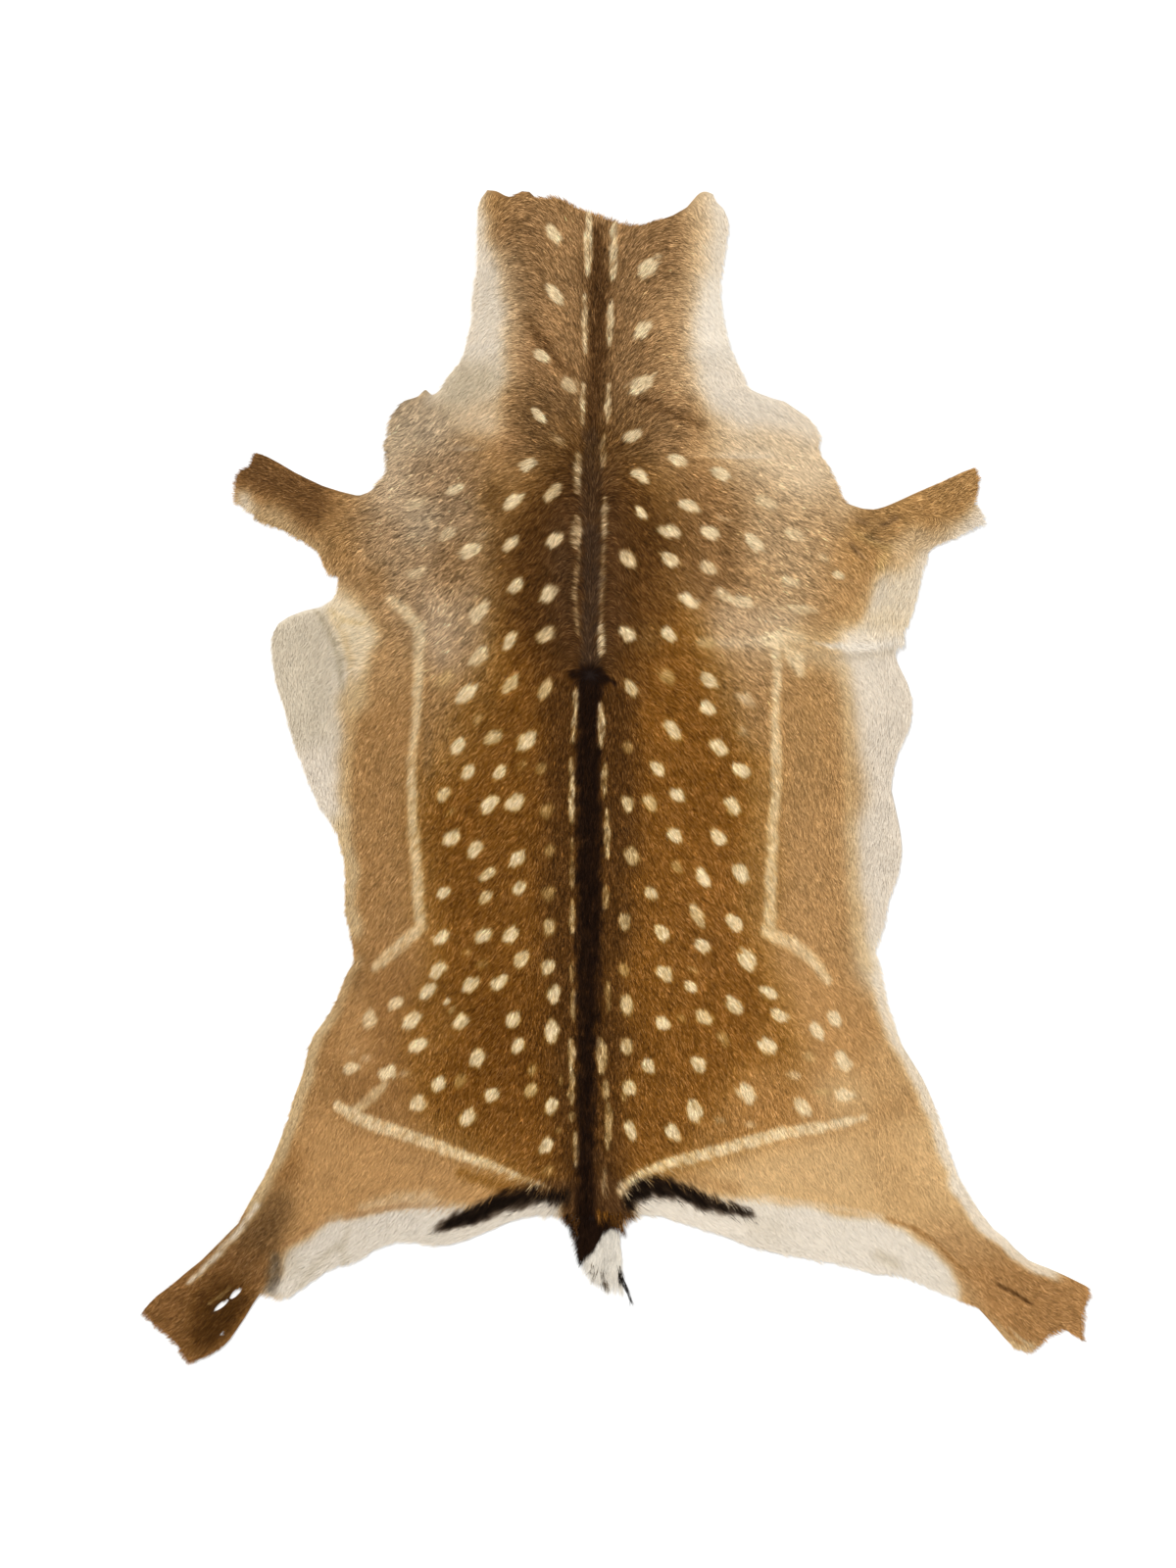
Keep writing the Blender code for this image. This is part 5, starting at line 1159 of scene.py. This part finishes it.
suede = nodes.new("ShaderNodeBump")
suede.inputs["Strength"].default_value = 0.35
suede.inputs["Distance"].default_value = 0.0004
links.new(nap.outputs["Fac"], suede.inputs["Height"])
links.new(suede.outputs["Normal"], shader.inputs["Normal"])
shader.inputs["Roughness"].default_value = 0.9
shader.inputs["Specular IOR Level"].default_value = 0.2
skin.data.materials.append(leather)

# The tail: a short dock of skin with its brush, black at the root and down the left, then white,
# with a black lock and grey tips. It hangs from the rump and its hairs lie on the floor.
Ring = namedtuple("Ring", "y x half_width height")
DOCK = [Ring(1236, 602, 12.0, 2.0), Ring(1250, 603, 12.5, 2.8), Ring(1264, 605, 10.5, 2.8),
        Ring(1278, 608, 7.5, 2.4), Ring(1288, 611, 4.0, 1.6)]
DOCK_SIDES = 16
BED = [(1236, 3.6), (1262, 3.2), (1288, 1.6), (1306, 0.3)]      # mm down, and mm high under the brush
BED_MARGIN = 4.0                  # mm past the dock's sides to half of that height


def dock_tube():
    """The dock: half ellipses over its line, each with its width and height, closed underneath."""
    round_it = np.linspace(0.0, 2.0 * np.pi, DOCK_SIDES, endpoint=False)
    rings = []
    for place in DOCK:
        z = place.height * (0.5 + 0.5 * np.sin(round_it)) + 0.1
        x = place.x + place.half_width * np.cos(round_it)
        rings.append(off_board(x, np.full(DOCK_SIDES, float(place.y)), z))
    points = np.vstack(rings + [r.mean(axis=0, keepdims=True) for r in (rings[0], rings[-1])])
    faces = []
    k = np.arange(DOCK_SIDES)
    n = (k + 1) % DOCK_SIDES
    for ring in range(len(DOCK) - 1):
        a, b = ring * DOCK_SIDES, (ring + 1) * DOCK_SIDES
        faces += [np.stack([a + k, b + k, b + n], axis=1), np.stack([a + k, b + n, a + n], axis=1)]
    end = (len(DOCK) - 1) * DOCK_SIDES
    faces += [np.stack([k, n, np.full(DOCK_SIDES, len(points) - 2)], axis=1),
              np.stack([end + n, end + k, np.full(DOCK_SIDES, len(points) - 1)], axis=1)]
    return points, np.vstack(faces)


def tail_ground(x, y):
    """The height under the brush: over the dock, falling away to the floor round it and past it."""
    rows, middles, halves, _ = np.array(DOCK).T
    off = np.abs(x - np.interp(y, rows, middles)) / (np.interp(y, rows, halves) + BED_MARGIN)
    return 0.5 + np.interp(y, *zip(*BED)) / (1.0 + off ** 2)


dock_points, dock_faces = dock_tube()
dock = new_object("tail_dock", build_mesh("tail_dock", dock_points, dock_faces))
paint_points(dock.data, np.tile(linear(PIGMENTS["stripe"]), (len(dock_points), 1)))
dock.data.materials.append(leather)
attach(dock, "root")
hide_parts("tail_brush")

# A lock runs from a row of roots, between its first two places, to a row of tips, between its
# last two. Its hairs start anywhere on the way and are laid over those of the locks before it.
Lock = namedtuple("Lock", "pigment count length x0 y0 x1 y1 x2 y2 x3 y3")
LOCKS = [Lock(*row) for row in (
    ("tail white", 800, 24, 606, 1260, 622, 1254, 591, 1301, 606, 1314),
    ("tail white", 1100, 26, 613, 1250, 627, 1248, 603, 1314, 620, 1323),
    ("tail white", 1100, 26, 620, 1248, 632, 1254, 617, 1323, 635, 1328),
    ("grey", 36, 16, 604, 1284, 612, 1286, 599, 1309, 608, 1315),
    ("grey", 50, 16, 612, 1290, 618, 1290, 614, 1319, 621, 1325),
    ("tail white", 300, 22, 616, 1258, 631, 1264, 608, 1300, 630, 1314),
    ("grey", 14, 14, 616, 1302, 620, 1302, 617, 1323, 623, 1325),
    ("rump black", 60, 15, 629, 1288, 632, 1288, 633, 1318, 638, 1312),
    ("rump black", 60, 17, 632, 1302, 636, 1303, 645, 1334, 648, 1336),
    ("stripe", 250, 13, 586, 1239, 600, 1250, 579, 1262, 591, 1284),
    ("saddle shade", 40, 13, 589, 1252, 594, 1274, 580, 1264, 587, 1288),
    ("stripe", 190, 12, 580, 1234, 596, 1244, 575, 1250, 588, 1266),
    ("saddle shade", 100, 12, 578, 1232, 594, 1240, 571, 1249, 586, 1262),
    ("stripe", 90, 15, 592, 1258, 597, 1278, 585, 1276, 590, 1298),
    ("stripe", 1300, 20, 593, 1238, 620, 1246, 590, 1297, 602, 1280),
    ("stripe", 420, 18, 608, 1240, 624, 1244, 604, 1270, 619, 1257),
    ("stripe", 460, 15, 608, 1234, 636, 1236, 614, 1256, 634, 1257),
    ("saddle shade", 150, 15, 606, 1232, 636, 1234, 612, 1254, 634, 1256),
    ("saddle brown", 36, 16, 606, 1230, 636, 1232, 612, 1252, 634, 1254),
    ("saddle shade", 60, 20, 624, 1236, 634, 1240, 632, 1264, 640, 1268),
    ("nape brown", 16, 18, 628, 1234, 640, 1238, 636, 1268, 644, 1252),
    ("saddle shade", 40, 16, 626, 1232, 642, 1234, 636, 1262, 650, 1246),
)]
BRUSH_RISE, BRUSH_WIDTH = 0.8, 0.6      # of the coat's rise and width
BRUSH_OVERHANG = 90.0             # mm: the brush lies past the rim, so it isn't trimmed
LOCK_LAYER = 0.12                 # mm that each lock lies over the one before it
brush = []
for number, lock in enumerate(LOCKS):
    side = rng.uniform(0.0, 1.0, lock.count)
    from_x, from_y = lock.x0 + side * (lock.x1 - lock.x0), lock.y0 + side * (lock.y1 - lock.y0)
    to_x, to_y = lock.x2 + side * (lock.x3 - lock.x2), lock.y2 + side * (lock.y3 - lock.y2)
    whole = np.hypot(to_x - from_x, to_y - from_y)
    start = rng.uniform(0.0, 1.0, lock.count) * np.maximum(1.0 - 0.8 * lock.length / whole, 0.0)
    left_over = whole * (1.0 - start) * rng.uniform(0.8, 1.15, lock.count)
    brush.append((from_x + start * (to_x - from_x), from_y + start * (to_y - from_y),
                  np.minimum(lock.length, left_over), np.arctan2(to_y - from_y, to_x - from_x),
                  np.tile(linear(PIGMENTS[lock.pigment]), (lock.count, 1)),
                  np.full(lock.count, 0.4 if lock.pigment == "tail white" else 0.9),
                  np.full(lock.count, LOCK_LAYER * number)))
brush_x, brush_y, length, heading, colour, contrast, layer = map(np.concatenate, zip(*brush))
tail_mesh = hair_mesh("tail_brush_hair", brush_x, brush_y, length, heading, 50, rise=BRUSH_RISE,
                      width=BRUSH_WIDTH, colour=colour, contrast=contrast, ground=tail_ground,
                      overhang=BRUSH_OVERHANG, layer=layer)
tail_mesh.materials.append(hair_material("brush_hair", 120.0, 0.2, 900.0))
tail = new_object("tail_brush_hair", tail_mesh)
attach(tail, "root")
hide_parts("tail_brush")

# The floor: a plain pale board, not part of the hide.
FLOOR_SIDE = 40.0                 # m, so that its end shows in no view
floor_corners = 0.5 * FLOOR_SIDE * np.array([(-1, -1, 0), (1, -1, 0), (1, 1, 0), (-1, 1, 0)], float)
floor = new_object("floor", build_mesh("floor", floor_corners, np.array([(0, 1, 2), (0, 2, 3)])))
paint = bpy.data.materials.new("pale_floor")
paint.use_nodes = True
paint.node_tree.nodes["Principled BSDF"].inputs["Base Color"].default_value = (0.9, 0.9, 0.896, 1.0)
paint.node_tree.nodes["Principled BSDF"].inputs["Roughness"].default_value = 0.8
floor.data.materials.append(paint)

# Soft studio light: a wide key from the upper left, a weaker fill from the right and an even sky.
world = bpy.data.worlds.new("studio")
bpy.context.scene.world = world
world.use_nodes = True
world.node_tree.nodes["Background"].inputs["Color"].default_value = (1.0, 1.0, 1.0, 1.0)
world.node_tree.nodes["Background"].inputs["Strength"].default_value = 0.63
Lamp = namedtuple("Lamp", "name power spread turn_x turn_y")     # the turns and the spread in degrees
for name, power, spread, turn_x, turn_y in (Lamp("key", 2.35, 22.0, 32.0, -34.0),
                                            Lamp("fill", 0.7, 40.0, -18.0, 40.0)):
    lamp = bpy.data.lights.new(name, "SUN")
    lamp.energy = power
    lamp.angle = np.radians(spread)
    light = bpy.data.objects.new(name, lamp)
    light.rotation_euler = (np.radians(-turn_x), np.radians(turn_y), 0.0)
    bpy.context.scene.collection.objects.link(light)
bpy.context.scene.view_settings.view_transform = "Standard"

# The camera looks straight down through a long lens, over the middle of the board.
CAMERA_LENS = 100.0               # mm
FILM_SIDE = 36.0                  # mm, along the picture's long side
VIEW_LENGTH = 1.6                 # m of floor along it
VIEW_MIDDLE = (600.0, 800.0)      # mm on the board
camera_data = bpy.data.cameras.new("camera")
camera_data.lens = CAMERA_LENS
camera_data.sensor_width = FILM_SIDE
camera = bpy.data.objects.new("camera", camera_data)
camera.location = ((VIEW_MIDDLE[0] - BOARD_MIDDLE[0]) * MM, (BOARD_MIDDLE[1] - VIEW_MIDDLE[1]) * MM,
                   VIEW_LENGTH * CAMERA_LENS / FILM_SIDE)
bpy.context.scene.collection.objects.link(camera)
bpy.context.scene.camera = camera
